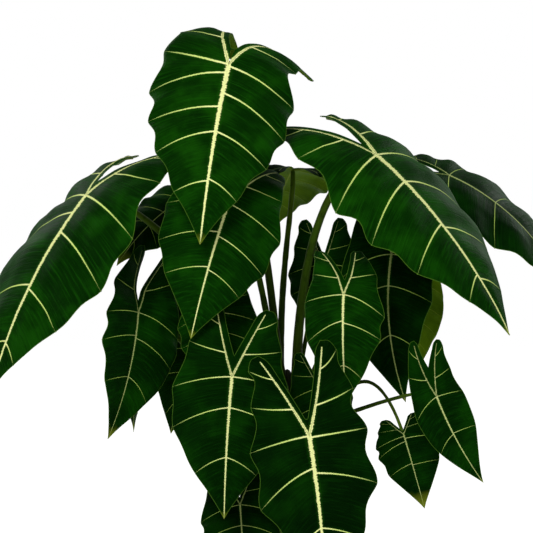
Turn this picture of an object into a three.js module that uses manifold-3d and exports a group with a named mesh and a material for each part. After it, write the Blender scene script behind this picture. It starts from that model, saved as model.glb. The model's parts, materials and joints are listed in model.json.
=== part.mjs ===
// A potted alocasia: dark arrowhead leaves with pale veins, each on its own stalk, round one
// upright stem that stands in soil in a plain tapered clay pot.
// Millimetres, +Z up. The origin is the centre of the pot's underside. -Y is the plant's front,
// and +X its right as seen from the front.

import * as THREE from "three";
import { mergeVertices } from "three/addons/utils/BufferGeometryUtils.js";
import Module from "manifold-3d";

// ---------------------------------------------------------------- driving dimensions

const GAP = 0.3; // between pieces that touch

const POT = {
  height: 200,
  footRadius: 88,
  bodyRadius: 111, // outside, just under the rim band
  rimRadius: 122, // outside, at the very top
  rimHeight: 36,
  rimDraft: 3, // how much narrower the band is at its lower edge
  wall: 7,
  floor: 10,
  edge: 2.5, // rounding of the lip, the band and the foot
  segments: 48,
};
const DRAIN = { count: 4, radius: 6, circle: 46, sides: 16 };

const SOIL = { belowRim: 24, crown: 5, segments: 48 };

const STEM = { footRadius: 21, topRadius: 7, height: 355, buried: 62, segments: 20 };

const BLADE = { thickness: 1.2, divisions: 2 }; // divisions from a rib to the margin

const STALK = { sides: 8, steps: 8, bedding: 0.5 }; // bedding is the gap between stalk and stem

// One half of a flattened blade, as shares of its joint-to-tip length. u runs from the joint
// (0) to the tip (1) and back into the lobe (below 0), v runs out from the midrib. Side veins
// are counted in steps: 0 is the tip of the lobe, 1 and 2 are the lobe's own veins, 3 leaves
// the joint, the next ones leave the midrib, and the last step is the tip of the blade. The
// margin has a point at each whole step and a hollow half way between two.
const JOINT_STEP = 3;
const LOBE_MARGIN = [
  [-0.5, 0.17],
  [-0.49, 0.22],
  [-0.43, 0.26],
  [-0.34, 0.28],
  [-0.22, 0.33],
  [-0.06, 0.33],
  [0.12, 0.41],
]; // every half step from the lobe's tip to the end of the joint's own vein
const BLADE_EDGE = [
  [0.12, 0.41],
  [0.27, 0.4],
  [0.42, 0.365],
  [0.56, 0.3],
  [0.7, 0.205],
  [0.82, 0.115],
  [0.92, 0.045],
  [1, 0],
]; // how far out the rest of the margin reaches, before its hollows
const HOLLOW = 0.09; // depth of a hollow, as a share of the reach
const LOBE_RIB = { bend: [-0.15, 0.065], end: [-0.455, 0.17] }; // bent line from the joint
const LOBE_ROOTS = [1, 0.9, 0.8, 0.61, 0.42, 0.2, 0]; // where half steps start along that line
const NOTCH = [
  [-0.09, 0],
  [-0.2, 0.04],
  [-0.33, 0.085],
  [-0.44, 0.12],
  [-0.5, 0.17],
]; // inner margin of a lobe, from the bottom of the notch to the lobe's tip
const VEIN_SWEEP = 0.14; // how much nearer the tip a side vein ends than it starts
const VEIN_BOW = 0.3; // how far it sets off straight across before it turns to the tip

// The leaves, from the top down. Places are in millimetres from the middle of the stem's top
// end, which carries them all. joint is where stalk and blade meet, tip the blade's tip, and
// face the way that its upper side looks. droop, bend, fold, curl, lobeDroop and twist are in
// degrees: the arch along the midrib, the midrib's sideways sweep, the rise of each half from
// the midrib, the roll of the margin, the extra droop of the lobes and the turn from joint to
// tip. width and lobes scale the outline, spread opens the lobes and sweep carries their ends
// to one side, as shares of the length. stalk is [angle round the stem, height of the foot,
// thickness at the foot, how far it climbs before it leaves, how far out it turns towards the
// joint], and lean is how much of the way out it goes while it climbs.
const LEAVES = [
  { name: "crown", joint: [-80, -80, 427], tip: [-117, -140, 186], face: [0.05, -1, 0.2],
    droop: 22, bend: 6, fold: 0, curl: 30, lobeDroop: 84, twist: 0, width: 1, lobes: 1.2,
    spread: 0.14, sweep: 0.14, pairs: 3, wave: 4, stalk: [-135, -20, 6, 250, 100] },
  { name: "upper_right", joint: [120, -75, 305], tip: [295, -130, 65], face: [0.45, -0.6, 0.6],
    droop: 34, bend: 6, fold: 0, curl: 40, lobeDroop: 22, twist: 0, width: 0.9, lobes: 1,
    pairs: 4, wave: 4, lean: 0, stalk: [-30, -50, 7.5, 180, 110] },
  { name: "upper_left", joint: [-275, -60, 250], tip: [-400, -100, -10], face: [-0.62, -0.5, 0.6],
    droop: 30, bend: -8, fold: 0, curl: 36, lobeDroop: 35, twist: -28, width: 0.95, lobes: 1,
    pairs: 5, wave: 4, stalk: [180, -50, 6.5, 120, 120] },
  { name: "back_top", joint: [8, 45, 285], tip: [-20, 185, 195], face: [0, 0.55, 0.85],
    droop: 40, bend: 0, fold: 6, curl: 24, lobeDroop: 30, twist: 0, width: 0.95, lobes: 0.75,
    pairs: 3, wave: 4, stalk: [128, -45, 5.5, 180, 60] },
  { name: "far_right", joint: [232, 62, 277], tip: [404, 78, 100], face: [0.3, -0.5, 0.85],
    droop: 50, bend: 0, fold: 0, curl: 34, lobeDroop: 20, twist: 0, width: 0.82, lobes: 0.65,
    pairs: 4, wave: 4, stalk: [10, -70, 6, 150, 110] },
  { name: "upper_centre", joint: [-80, -95, 240], tip: [-130, -125, 60], face: [0.05, -1, 0.3],
    droop: 20, bend: 6, fold: 0, curl: 24, lobeDroop: 40, twist: 0, width: 1.1, lobes: 1.15,
    pairs: 4, wave: 4, stalk: [-115, -80, 5.5, 150, 100] },
  { name: "left_back", joint: [-150, 45, 243], tip: [-240, 15, 150], face: [-0.2, -0.8, 0.6],
    droop: 44, bend: 0, fold: 0, curl: 30, lobeDroop: 20, twist: 0, width: 0.9, lobes: 0.9,
    pairs: 3, wave: 4, stalk: [155, -90, 4.5, 130, 80] },
  { name: "right_centre", joint: [146, 0, 167], tip: [163, -50, -35], face: [-0.15, -1, 0.15],
    droop: 24, bend: 26, fold: 20, curl: 22, lobeDroop: 20, twist: 0, width: 0.78, lobes: 1.1, spread: 0.25,
    pairs: 4, wave: 4, stalk: [-5, -110, 5.5, 120, 80] },
  { name: "right_bright", joint: [190, 105, 120], tip: [195, 130, -10], face: [0.35, 1, 0.35],
    droop: 20, bend: 0, fold: 4, curl: 20, lobeDroop: 20, twist: 0, width: 0.75, lobes: 0.9,
    pairs: 3, wave: 4, stalk: [35, -150, 4.5, 130, 70] },
  { name: "centre_notch", joint: [52, 9, 153], tip: [59, 12, 35], face: [-0.1, -1, 0.2],
    droop: 18, bend: 0, fold: 6, curl: 20, lobeDroop: 0, twist: 0, width: 1.1, lobes: 1.1,
    pairs: 3, wave: 3, stalk: [65, -120, 4, 120, 50] },
  { name: "right_inner", joint: [75, -96, 117], tip: [80, -84, -33], face: [-0.2, -1, 0],
    droop: 50, bend: 0, fold: 8, curl: 24, lobeDroop: 20, twist: 0, width: 0.88, lobes: 1, sweep: -0.1,
    pairs: 3, wave: 4, stalk: [-35, -145, 5, 140, 70] },
  { name: "left_outer", joint: [-205, -60, 90], tip: [-245, -90, -80], face: [0.55, -0.8, 0.1],
    droop: 24, bend: -8, fold: 26, curl: 22, lobeDroop: 20, twist: 0, width: 0.85, lobes: 1.1, sweep: 0.28,
    pairs: 5, wave: 4, stalk: [-160, -120, 5, 120, 100] },
  { name: "left_behind", joint: [-190, 90, 65], tip: [-222, 85, -95], face: [-0.8, -0.6, 0.2],
    droop: 24, bend: 0, fold: 16, curl: 20, lobeDroop: 20, twist: 0, width: 0.7, lobes: 0.9,
    pairs: 3, wave: 4, stalk: [150, -150, 4.5, 120, 80] },
  { name: "left_under", joint: [-165, 160, 100], tip: [-185, 190, -30], face: [-0.2, 1, 0.35],
    droop: 24, bend: 0, fold: 4, curl: 20, lobeDroop: 20, twist: 0, width: 0.9, lobes: 0.9,
    pairs: 3, wave: 4, stalk: [120, -140, 4.5, 120, 80] },
  { name: "left_inner", joint: [-130, 35, 65], tip: [-165, 30, -90], face: [-0.2, -1, 0.2],
    droop: 20, bend: 0, fold: 10, curl: 20, lobeDroop: 20, twist: 0, width: 0.85, lobes: 0.75,
    pairs: 3, wave: 4, stalk: [200, -180, 4.5, 110, 60] },
  { name: "centre_left_back", joint: [-95, -60, 90], tip: [-90, -75, -35], face: [0.1, -1, 0.2],
    droop: 16, bend: 0, fold: 4, curl: 18, lobeDroop: 18, twist: 0, width: 1.1, lobes: 1,
    pairs: 3, wave: 4, stalk: [-125, -140, 4.5, 120, 60] },
  { name: "centre_left", joint: [-75, -135, 10], tip: [-85, -165, -175], face: [0, -1, 0.15],
    droop: 16, bend: 4, fold: 6, curl: 18, lobeDroop: 10, twist: 0, width: 1.04, lobes: 1.1,
    pairs: 2, wave: 4, stalk: [-110, -175, 6, 120, 60] },
  { name: "centre_right_back", joint: [43, -68, -13], tip: [58, -82, -127], face: [0, -1, 0.2],
    droop: 16, bend: 0, fold: 6, curl: 18, lobeDroop: 15, twist: 0, width: 0.95, lobes: 0.95,
    pairs: 3, wave: 4, stalk: [-50, -205, 4.5, 100, 15] },
  { name: "right_arrow", joint: [201, -100, -21], tip: [262, -125, -134], face: [-0.2, -1, 0.2],
    droop: 14, bend: 14, fold: 10, curl: 14, lobeDroop: 10, twist: 0, width: 0.7, lobes: 1.25,
    pairs: 3, wave: 2, stalk: [-70, -93, 3.5, 20, 50] },
  { name: "right_heart", joint: [160, -50, -79], tip: [187, -80, -177], face: [0, -1, 0.25],
    droop: 16, bend: 0, fold: 8, curl: 12, lobeDroop: 10, twist: 0, width: 1, lobes: 0.5,
    pairs: 3, wave: 2, stalk: [10, -205, 3.5, 340, 20] },
  { name: "centre_right", joint: [27, -185, -62], tip: [50, -220, -280], face: [0.05, -1, 0.15],
    droop: 14, bend: -5, fold: 6, curl: 16, lobeDroop: 10, twist: 0, width: 0.92, lobes: 1.12,
    pairs: 3, wave: 4, stalk: [-80, -215, 6, 130, 60] },
  { name: "low_centre", joint: [-65, -90, -170], tip: [-55, -140, -295], face: [0, -1, 0.3],
    droop: 18, bend: 0, fold: 6, curl: 16, lobeDroop: 10, twist: 0, width: 1, lobes: 0.9,
    pairs: 3, wave: 3, stalk: [-100, -265, 4.5, 80, 40] },
];

const COLOURS = {
  blade: { color: 0x0c3a12, roughness: 0.5, metalness: 0 },
  stalk: { color: 0x3f5a1e, roughness: 0.45, metalness: 0 },
  stem: { color: 0x5b4a2c, roughness: 0.8, metalness: 0 },
  soil: { color: 0x2f2118, roughness: 0.95, metalness: 0 },
  clay: { color: 0xb5653f, roughness: 0.85, metalness: 0 },
};

// ---------------------------------------------------------------- helpers

const wasm = await Module();
wasm.setup();

const vec = (point) => new THREE.Vector3(...point);
const fromStemTop = (place) => vec(place).add(new THREE.Vector3(0, 0, STEM.height));
const degrees = THREE.MathUtils.degToRad;
const mix = THREE.MathUtils.lerp;
const mixPoints = (a, b, share) => [mix(a[0], b[0], share), mix(a[1], b[1], share)];

// A smooth line through points that are one step apart, at any place between them.
function through(points, at) {
  const last = points.length - 1;
  const start = Math.min(Math.floor(at), last - 1);
  const t = at - start;
  const p = (i) => points[THREE.MathUtils.clamp(i, 0, last)];
  const blend = (a, b, c, d) =>
    b + 0.5 * t * (c - a + t * (2 * a - 5 * b + 4 * c - d + t * (3 * (b - c) + d - a)));
  return points[0].map((_, k) =>
    blend(p(start - 1)[k], p(start)[k], p(start + 1)[k], p(start + 2)[k]),
  );
}

function manifoldOf(geometry) {
  const bare = geometry.clone();
  bare.deleteAttribute("normal");
  bare.deleteAttribute("uv");
  const merged = mergeVertices(bare, 1e-3);
  return new wasm.Manifold(
    new wasm.Mesh({
      numProp: 3,
      vertProperties: new Float32Array(merged.attributes.position.array),
      triVerts: new Uint32Array(merged.index.array),
    }),
  );
}

function geometryOf(manifold) {
  const { vertProperties, triVerts } = manifold.getMesh();
  return indexed(Array.from(vertProperties), Array.from(triVerts));
}

function indexed(positions, triangles) {
  const geometry = new THREE.BufferGeometry();
  geometry.setAttribute("position", new THREE.Float32BufferAttribute(positions, 3));
  geometry.setIndex(triangles);
  geometry.computeVertexNormals();
  return geometry;
}

// A turned solid about Z from [radius, height] points that start and end on the axis.
function turned(profile, segments) {
  const points = profile.map(([r, z]) => new THREE.Vector2(r, z));
  return new THREE.LatheGeometry(points, segments).rotateX(Math.PI / 2);
}

// ---------------------------------------------------------------- pot and soil

const soilLevel = POT.height - SOIL.belowRim;
const rimFoot = POT.height - POT.rimHeight;

// The pot's inner radius at a height, on a straight wall that runs up to the lip.
function innerRadius(z) {
  const foot = POT.footRadius - POT.wall;
  const top = POT.bodyRadius - POT.wall + (POT.bodyRadius - POT.footRadius) * (POT.rimHeight / rimFoot);
  return mix(foot, top, z / POT.height);
}

function potGeometry() {
  const { footRadius, bodyRadius, rimRadius, rimDraft, height, floor, edge, segments } = POT;
  const body = turned(
    [
      [0, 0],
      [footRadius - edge, 0],
      [footRadius, edge],
      [bodyRadius, rimFoot],
      [rimRadius - rimDraft - edge, rimFoot],
      [rimRadius - rimDraft, rimFoot + edge],
      [rimRadius, height - edge],
      [rimRadius - edge, height],
      [innerRadius(height) + edge, height],
      [innerRadius(height - edge), height - edge],
      [innerRadius(floor), floor],
      [0, floor],
    ],
    segments,
  );
  let pot = manifoldOf(body);
  for (let i = 0; i < DRAIN.count; i++) {
    const angle = (i / DRAIN.count) * 2 * Math.PI + Math.PI / DRAIN.count;
    const cutter = new THREE.CylinderGeometry(DRAIN.radius, DRAIN.radius, 3 * floor, DRAIN.sides)
      .rotateX(Math.PI / 2)
      .translate(DRAIN.circle * Math.cos(angle), DRAIN.circle * Math.sin(angle), floor / 2);
    pot = pot.subtract(manifoldOf(cutter));
  }
  return geometryOf(pot);
}

// The stem's radius at a height above the soil: a swollen foot that tapers to a thin top.
function stemRadius(height) {
  const share = THREE.MathUtils.clamp(height / STEM.height, 0, 1);
  return mix(STEM.footRadius, STEM.topRadius, share ** 0.8);
}

function stemGeometry() {
  const rings = 8;
  const profile = [
    [0, -STEM.buried],
    [0.55 * STEM.footRadius, -STEM.buried],
    [0.95 * STEM.footRadius, -0.5 * STEM.buried],
  ];
  for (let i = 0; i <= rings; i++) {
    const height = (i / rings) * STEM.height;
    profile.push([stemRadius(height), height]);
  }
  profile.push([0, STEM.height + STEM.topRadius]);
  return turned(profile, STEM.segments);
}

function soilGeometry() {
  const { crown, segments } = SOIL;
  // The hole round the buried foot of the stem is cut a little wide, because both are faceted.
  const hole = (radius) => radius / Math.cos(Math.PI / STEM.segments) + GAP;
  const wall = (z) => innerRadius(z) - GAP;
  const bottom = POT.floor + GAP;
  return turned(
    [
      [0, bottom],
      [wall(bottom), bottom],
      [wall(soilLevel - crown), soilLevel - crown],
      [0.6 * wall(soilLevel), soilLevel - 0.3 * crown],
      [hole(STEM.footRadius), soilLevel],
      [hole(0.95 * STEM.footRadius), soilLevel - 0.5 * STEM.buried],
      [hole(0.55 * STEM.footRadius), soilLevel - STEM.buried - GAP],
      [0, soilLevel - STEM.buried - GAP],
    ],
    segments,
  );
}

// ---------------------------------------------------------------- blades

// Where the vein of a step starts on the midrib, on a blade with so many pairs of veins.
function midribRoot(step, pairs) {
  const beyond = step - JOINT_STEP;
  return beyond < pairs ? (0.92 * beyond) / (pairs + 1) : mix((0.92 * pairs) / (pairs + 1), 1, beyond - pairs);
}

// Where it starts, on the lobe's rib or the midrib.
function ribPoint(step, pairs) {
  if (step >= JOINT_STEP) return [midribRoot(step, pairs), 0];
  const [share] = through(LOBE_ROOTS.map((root) => [root]), 2 * step);
  const first = mixPoints([0, 0], LOBE_RIB.bend, share);
  const second = mixPoints(LOBE_RIB.bend, LOBE_RIB.end, share);
  return mixPoints(first, second, share);
}

// Where it ends, on the margin.
function marginPoint(step, pairs) {
  if (step <= JOINT_STEP) return through(LOBE_MARGIN, 2 * step);
  const sweep = VEIN_SWEEP * Math.min(1, pairs + 1 - (step - JOINT_STEP));
  const u = Math.min(1, midribRoot(step, pairs) + sweep);
  const after = BLADE_EDGE.findIndex(([edge]) => edge >= u - 1e-9);
  const [low, high] = [BLADE_EDGE[Math.max(after - 1, 0)], BLADE_EDGE[Math.max(after, 1)]];
  const reach = mix(low[1], high[1], (u - low[0]) / (high[0] - low[0]));
  return [u, reach * (1 - (HOLLOW * (1 - Math.cos(2 * Math.PI * step))) / 2)];
}

// A flattened point between rib and margin (share 0 to 1), on the outer side of the rib.
function outerPoint(step, share, pairs) {
  const rib = ribPoint(step, pairs);
  const margin = marginPoint(step, pairs);
  const bow = VEIN_BOW * Math.min(1, step);
  const turn = [mix(rib[0], margin[0], 0.5 - bow), mix(rib[1], margin[1], 0.5)];
  return mixPoints(mixPoints(rib, turn, share), mixPoints(turn, margin, share), share);
}

// A flattened point between the lobe's rib and the notch.
function innerPoint(step, share, pairs) {
  const [along] = through(LOBE_ROOTS.map((root) => [root]), 2 * step);
  return mixPoints(ribPoint(step, pairs), through(NOTCH, along * (NOTCH.length - 1)), share);
}

// The curved blade as a function from a flattened point to a place, with its frame at the joint.
function bladeForm(leaf) {
  const joint = fromStemTop(leaf.joint);
  const chord = fromStemTop(leaf.tip).sub(joint);
  const turn = degrees(Math.hypot(leaf.droop, leaf.bend));
  const length = (chord.length() * turn) / 2 / Math.sin(turn / 2);
  const along = chord.normalize();
  const up = vec(leaf.face).projectOnPlane(along).normalize();
  const side = up.clone().cross(along);
  const hinge = side.clone().multiplyScalar(leaf.droop).addScaledVector(up, leaf.bend).normalize();
  for (const axis of [along, up, side]) axis.applyAxisAngle(hinge, -turn / 2);

  const bladeTurn = turn / length;
  const lobeTurn = bladeTurn + degrees(leaf.lobeDroop) / (0.5 * length);
  const curl = degrees(leaf.curl) / (0.42 * length);
  const across = hinge.clone().cross(along);

  function place([u, flatV], lift) {
    const beyond = Math.max(-u, 0); // how far into a lobe
    const v = flatV + Math.sign(flatV) * (leaf.spread ?? 0) * beyond;
    const distance = u * length * (u < 0 ? leaf.lobes : 1);
    const rate = u < 0 ? lobeTurn : bladeTurn;
    const angle = rate * distance;
    const point = joint
      .clone()
      .addScaledVector(along, Math.sin(angle) / rate)
      .addScaledVector(across, (1 - Math.cos(angle)) / rate);
    const out = side.clone().applyAxisAngle(hinge, angle);
    const normal = up.clone().applyAxisAngle(hinge, angle);
    const ahead = along.clone().applyAxisAngle(hinge, angle);
    const twist = degrees(leaf.twist) * Math.max(u, 0);
    out.applyAxisAngle(ahead, twist);
    normal.applyAxisAngle(ahead, twist);
    const reach = Math.abs(v) * length * leaf.width;
    const fold = degrees(leaf.fold);
    const end = fold - curl * reach;
    const sideways = (Math.sin(fold) - Math.sin(end)) / curl;
    const swept = (leaf.sweep ?? 0) * length * (Math.max(beyond - 0.15, 0) / 0.35) ** 1.4;
    const rise = (Math.cos(end) - Math.cos(fold)) / curl;
    point.addScaledVector(out, Math.sign(v) * sideways + swept);
    return point.addScaledVector(normal, rise + lift);
  }
  return { place, joint, along, up };
}

function bladeGeometry(leaf) {
  const { place } = bladeForm(leaf);
  const shares = Array.from({ length: BLADE.divisions + 1 }, (_, i) => i / BLADE.divisions);
  const found = new Map(); // flattened point to its index
  const flat = [];
  const places = [];
  function vertex([u, v], lift) {
    const key = `${Math.round(u * 1e5)},${Math.round(v * 1e5)}`;
    if (!found.has(key)) {
      found.set(key, flat.length);
      flat.push([u, v]);
      places.push(place([u, v], lift));
    }
    return found.get(key);
  }
  const triangles = [];
  function triangle(a, b, c) {
    if (a === b || b === c || c === a) return;
    const [p, q, r] = [flat[a], flat[b], flat[c]];
    const area = (q[0] - p[0]) * (r[1] - p[1]) - (q[1] - p[1]) * (r[0] - p[0]);
    triangles.push(area > 0 ? [a, b, c] : [a, c, b]);
  }
  function patch(steps, at, half, wave) {
    const rows = steps.map((step) =>
      shares.map((share) => {
        const [u, v] = at(step, share, leaf.pairs);
        const ripple = wave ? -leaf.wave * share * share * Math.cos(2 * Math.PI * step) : 0;
        return vertex([u, half * v], ripple);
      }),
    );
    for (let i = 0; i + 1 < rows.length; i++) {
      for (let j = 0; j < BLADE.divisions; j++) {
        const [a, b, c, d] = [rows[i][j], rows[i + 1][j], rows[i + 1][j + 1], rows[i][j + 1]];
        triangle(a, b, c);
        triangle(a, c, d);
      }
    }
  }
  const lobeSteps = [0, 1, 2, 2.5, 3];
  const bladeSteps = Array.from({ length: 2 * leaf.pairs + 2 }, (_, i) => JOINT_STEP + (i + 1) / 2);
  for (const half of [-1, 1]) {
    patch([...lobeSteps, ...bladeSteps], outerPoint, half, true);
    patch(lobeSteps, innerPoint, half, false);
  }
  return thickened(places, triangles, BLADE.thickness);
}

// A closed plate of even thickness on both sides of an open surface.
function thickened(places, triangles, thickness) {
  const normals = places.map(() => new THREE.Vector3());
  for (const [a, b, c] of triangles) {
    const n = places[b].clone().sub(places[a]).cross(places[c].clone().sub(places[a]));
    for (const i of [a, b, c]) normals[i].add(n);
  }
  const positions = [];
  for (const sign of [1, -1]) {
    places.forEach((p, i) => {
      const shift = normals[i].clone().normalize().multiplyScalar((sign * thickness) / 2);
      positions.push(...p.clone().add(shift).toArray());
    });
  }
  const lower = places.length;
  const edges = new Map();
  const faces = [];
  for (const [a, b, c] of triangles) {
    faces.push(a, b, c, a + lower, c + lower, b + lower);
    for (const [from, to] of [[a, b], [b, c], [c, a]]) {
      if (!edges.delete(`${to},${from}`)) edges.set(`${from},${to}`, [from, to]);
    }
  }
  for (const [from, to] of edges.values()) {
    faces.push(from, from + lower, to, to, from + lower, to + lower);
  }
  return indexed(positions, faces);
}

// ---------------------------------------------------------------- leaf stalks

// A round tube with closed ends along a curve, with a radius for each share of its length.
function tapered(curve, radiusAt, steps, sides) {
  const frames = curve.computeFrenetFrames(steps, false);
  const positions = [];
  const faces = [];
  for (let i = 0; i <= steps; i++) {
    const centre = curve.getPointAt(i / steps);
    for (let j = 0; j < sides; j++) {
      const angle = (j / sides) * 2 * Math.PI;
      const point = centre
        .clone()
        .addScaledVector(frames.normals[i], radiusAt(i / steps) * Math.cos(angle))
        .addScaledVector(frames.binormals[i], radiusAt(i / steps) * Math.sin(angle));
      positions.push(...point.toArray());
    }
  }
  for (let i = 0; i < steps; i++) {
    for (let j = 0; j < sides; j++) {
      const a = i * sides + j;
      const b = i * sides + ((j + 1) % sides);
      faces.push(a, b, a + sides, b, b + sides, a + sides);
    }
  }
  for (let j = 1; j + 1 < sides; j++) {
    const end = steps * sides;
    faces.push(0, j + 1, j, end, end + j, end + j + 1);
  }
  return indexed(positions, faces);
}

// The stalk climbs the stem from its foot, leans out and arrives under the joint.
function stalkGeometry(leaf) {
  const [angle, drop, radius, climb, turnOut] = leaf.stalk;
  const height = STEM.height + drop;
  const { joint, along, up } = bladeForm(leaf);
  const topRadius = 0.6 * radius;
  const outward = new THREE.Vector3(Math.cos(degrees(angle)), Math.sin(degrees(angle)), 0);
  const footDistance = stemRadius(height) + radius + STALK.bedding;
  const foot = outward.clone().multiplyScalar(footDistance).setZ(height);
  const arrival = up.clone().multiplyScalar(0.8).addScaledVector(along, 0.6);
  const clearance = BLADE.thickness / 2 + GAP + topRadius;
  const end = joint.clone().addScaledVector(arrival, -clearance / 0.8);
  const lean =
    ((leaf.lean ?? 0.5) * Math.hypot(joint.x, joint.y)) / Math.max(joint.z - height, climb);
  const leave = outward.clone().multiplyScalar(lean * climb).setZ(climb);
  const curve = new THREE.CubicBezierCurve3(
    foot,
    foot.clone().add(leave),
    end.clone().addScaledVector(arrival, -turnOut),
    end,
  );
  return tapered(curve, (t) => mix(radius, topRadius, t), STALK.steps, STALK.sides);
}

// ---------------------------------------------------------------- assembly

function piece(name, geometry, colour) {
  const mesh = new THREE.Mesh(geometry, new THREE.MeshStandardMaterial({ ...colour }));
  mesh.name = name;
  return mesh;
}

const pottedAlocasia = new THREE.Group();
pottedAlocasia.add(piece("pot", potGeometry(), COLOURS.clay));
pottedAlocasia.add(piece("soil", soilGeometry(), COLOURS.soil));

const plant = new THREE.Group();
plant.position.z = soilLevel;
plant.add(piece("stem", stemGeometry(), COLOURS.stem));
for (const leaf of LEAVES) {
  plant.add(piece(`leaf_${leaf.name}`, bladeGeometry(leaf), { ...COLOURS.blade, side: THREE.DoubleSide }));
  plant.add(piece(`stalk_${leaf.name}`, stalkGeometry(leaf), COLOURS.stalk));
}
pottedAlocasia.add(plant);

export default pottedAlocasia;
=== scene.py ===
# %% [markdown]
# # A potted alocasia
#
# The plant is a set of thin arrowhead blades, each on a round stalk, round one stem in a clay
# pot. The blades are the whole show: near-black velvet green, cut by pale ribs and veins. They
# are made in mesh code, because outline, ribs and relief all follow one rule, and the stalks
# and the loose potting mix are made with Geometry Nodes, because they follow a path and a
# surface.

# %% Set up
import json
import math

import bmesh
import bpy
import numpy as np
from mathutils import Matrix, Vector

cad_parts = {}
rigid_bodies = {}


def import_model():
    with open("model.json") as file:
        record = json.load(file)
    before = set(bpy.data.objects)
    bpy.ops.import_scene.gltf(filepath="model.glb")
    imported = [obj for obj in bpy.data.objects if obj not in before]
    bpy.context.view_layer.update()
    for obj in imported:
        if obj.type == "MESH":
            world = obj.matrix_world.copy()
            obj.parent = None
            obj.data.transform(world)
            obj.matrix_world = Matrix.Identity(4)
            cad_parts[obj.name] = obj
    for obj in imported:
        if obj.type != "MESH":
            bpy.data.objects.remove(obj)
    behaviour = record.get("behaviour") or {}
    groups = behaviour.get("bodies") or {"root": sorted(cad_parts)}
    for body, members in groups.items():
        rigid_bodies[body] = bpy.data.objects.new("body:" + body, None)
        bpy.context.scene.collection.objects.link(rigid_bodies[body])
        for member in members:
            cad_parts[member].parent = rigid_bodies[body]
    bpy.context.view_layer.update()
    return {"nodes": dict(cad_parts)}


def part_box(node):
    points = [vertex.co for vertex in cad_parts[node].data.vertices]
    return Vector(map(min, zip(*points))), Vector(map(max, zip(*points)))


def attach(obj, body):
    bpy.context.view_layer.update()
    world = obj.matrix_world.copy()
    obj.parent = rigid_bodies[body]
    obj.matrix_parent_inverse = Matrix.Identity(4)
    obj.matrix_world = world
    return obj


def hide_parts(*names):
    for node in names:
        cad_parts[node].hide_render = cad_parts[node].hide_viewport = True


for leftover in list(bpy.data.objects):
    bpy.data.objects.remove(leftover)
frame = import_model()
print("frame:", len(frame["nodes"]), "nodes")

MM = 0.001  # the plant, its pot and the bed are measured in millimetres, the scene in metres
SOIL_LEVEL = 176.0  # the plant's places are counted from the middle of the soil's surface
soil_top, pot_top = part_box("soil")[1][2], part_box("pot")[1][2]
print("soil surface at", round(soil_top / MM, 1), "mm, pot lip at", round(pot_top / MM, 1), "mm")
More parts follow.
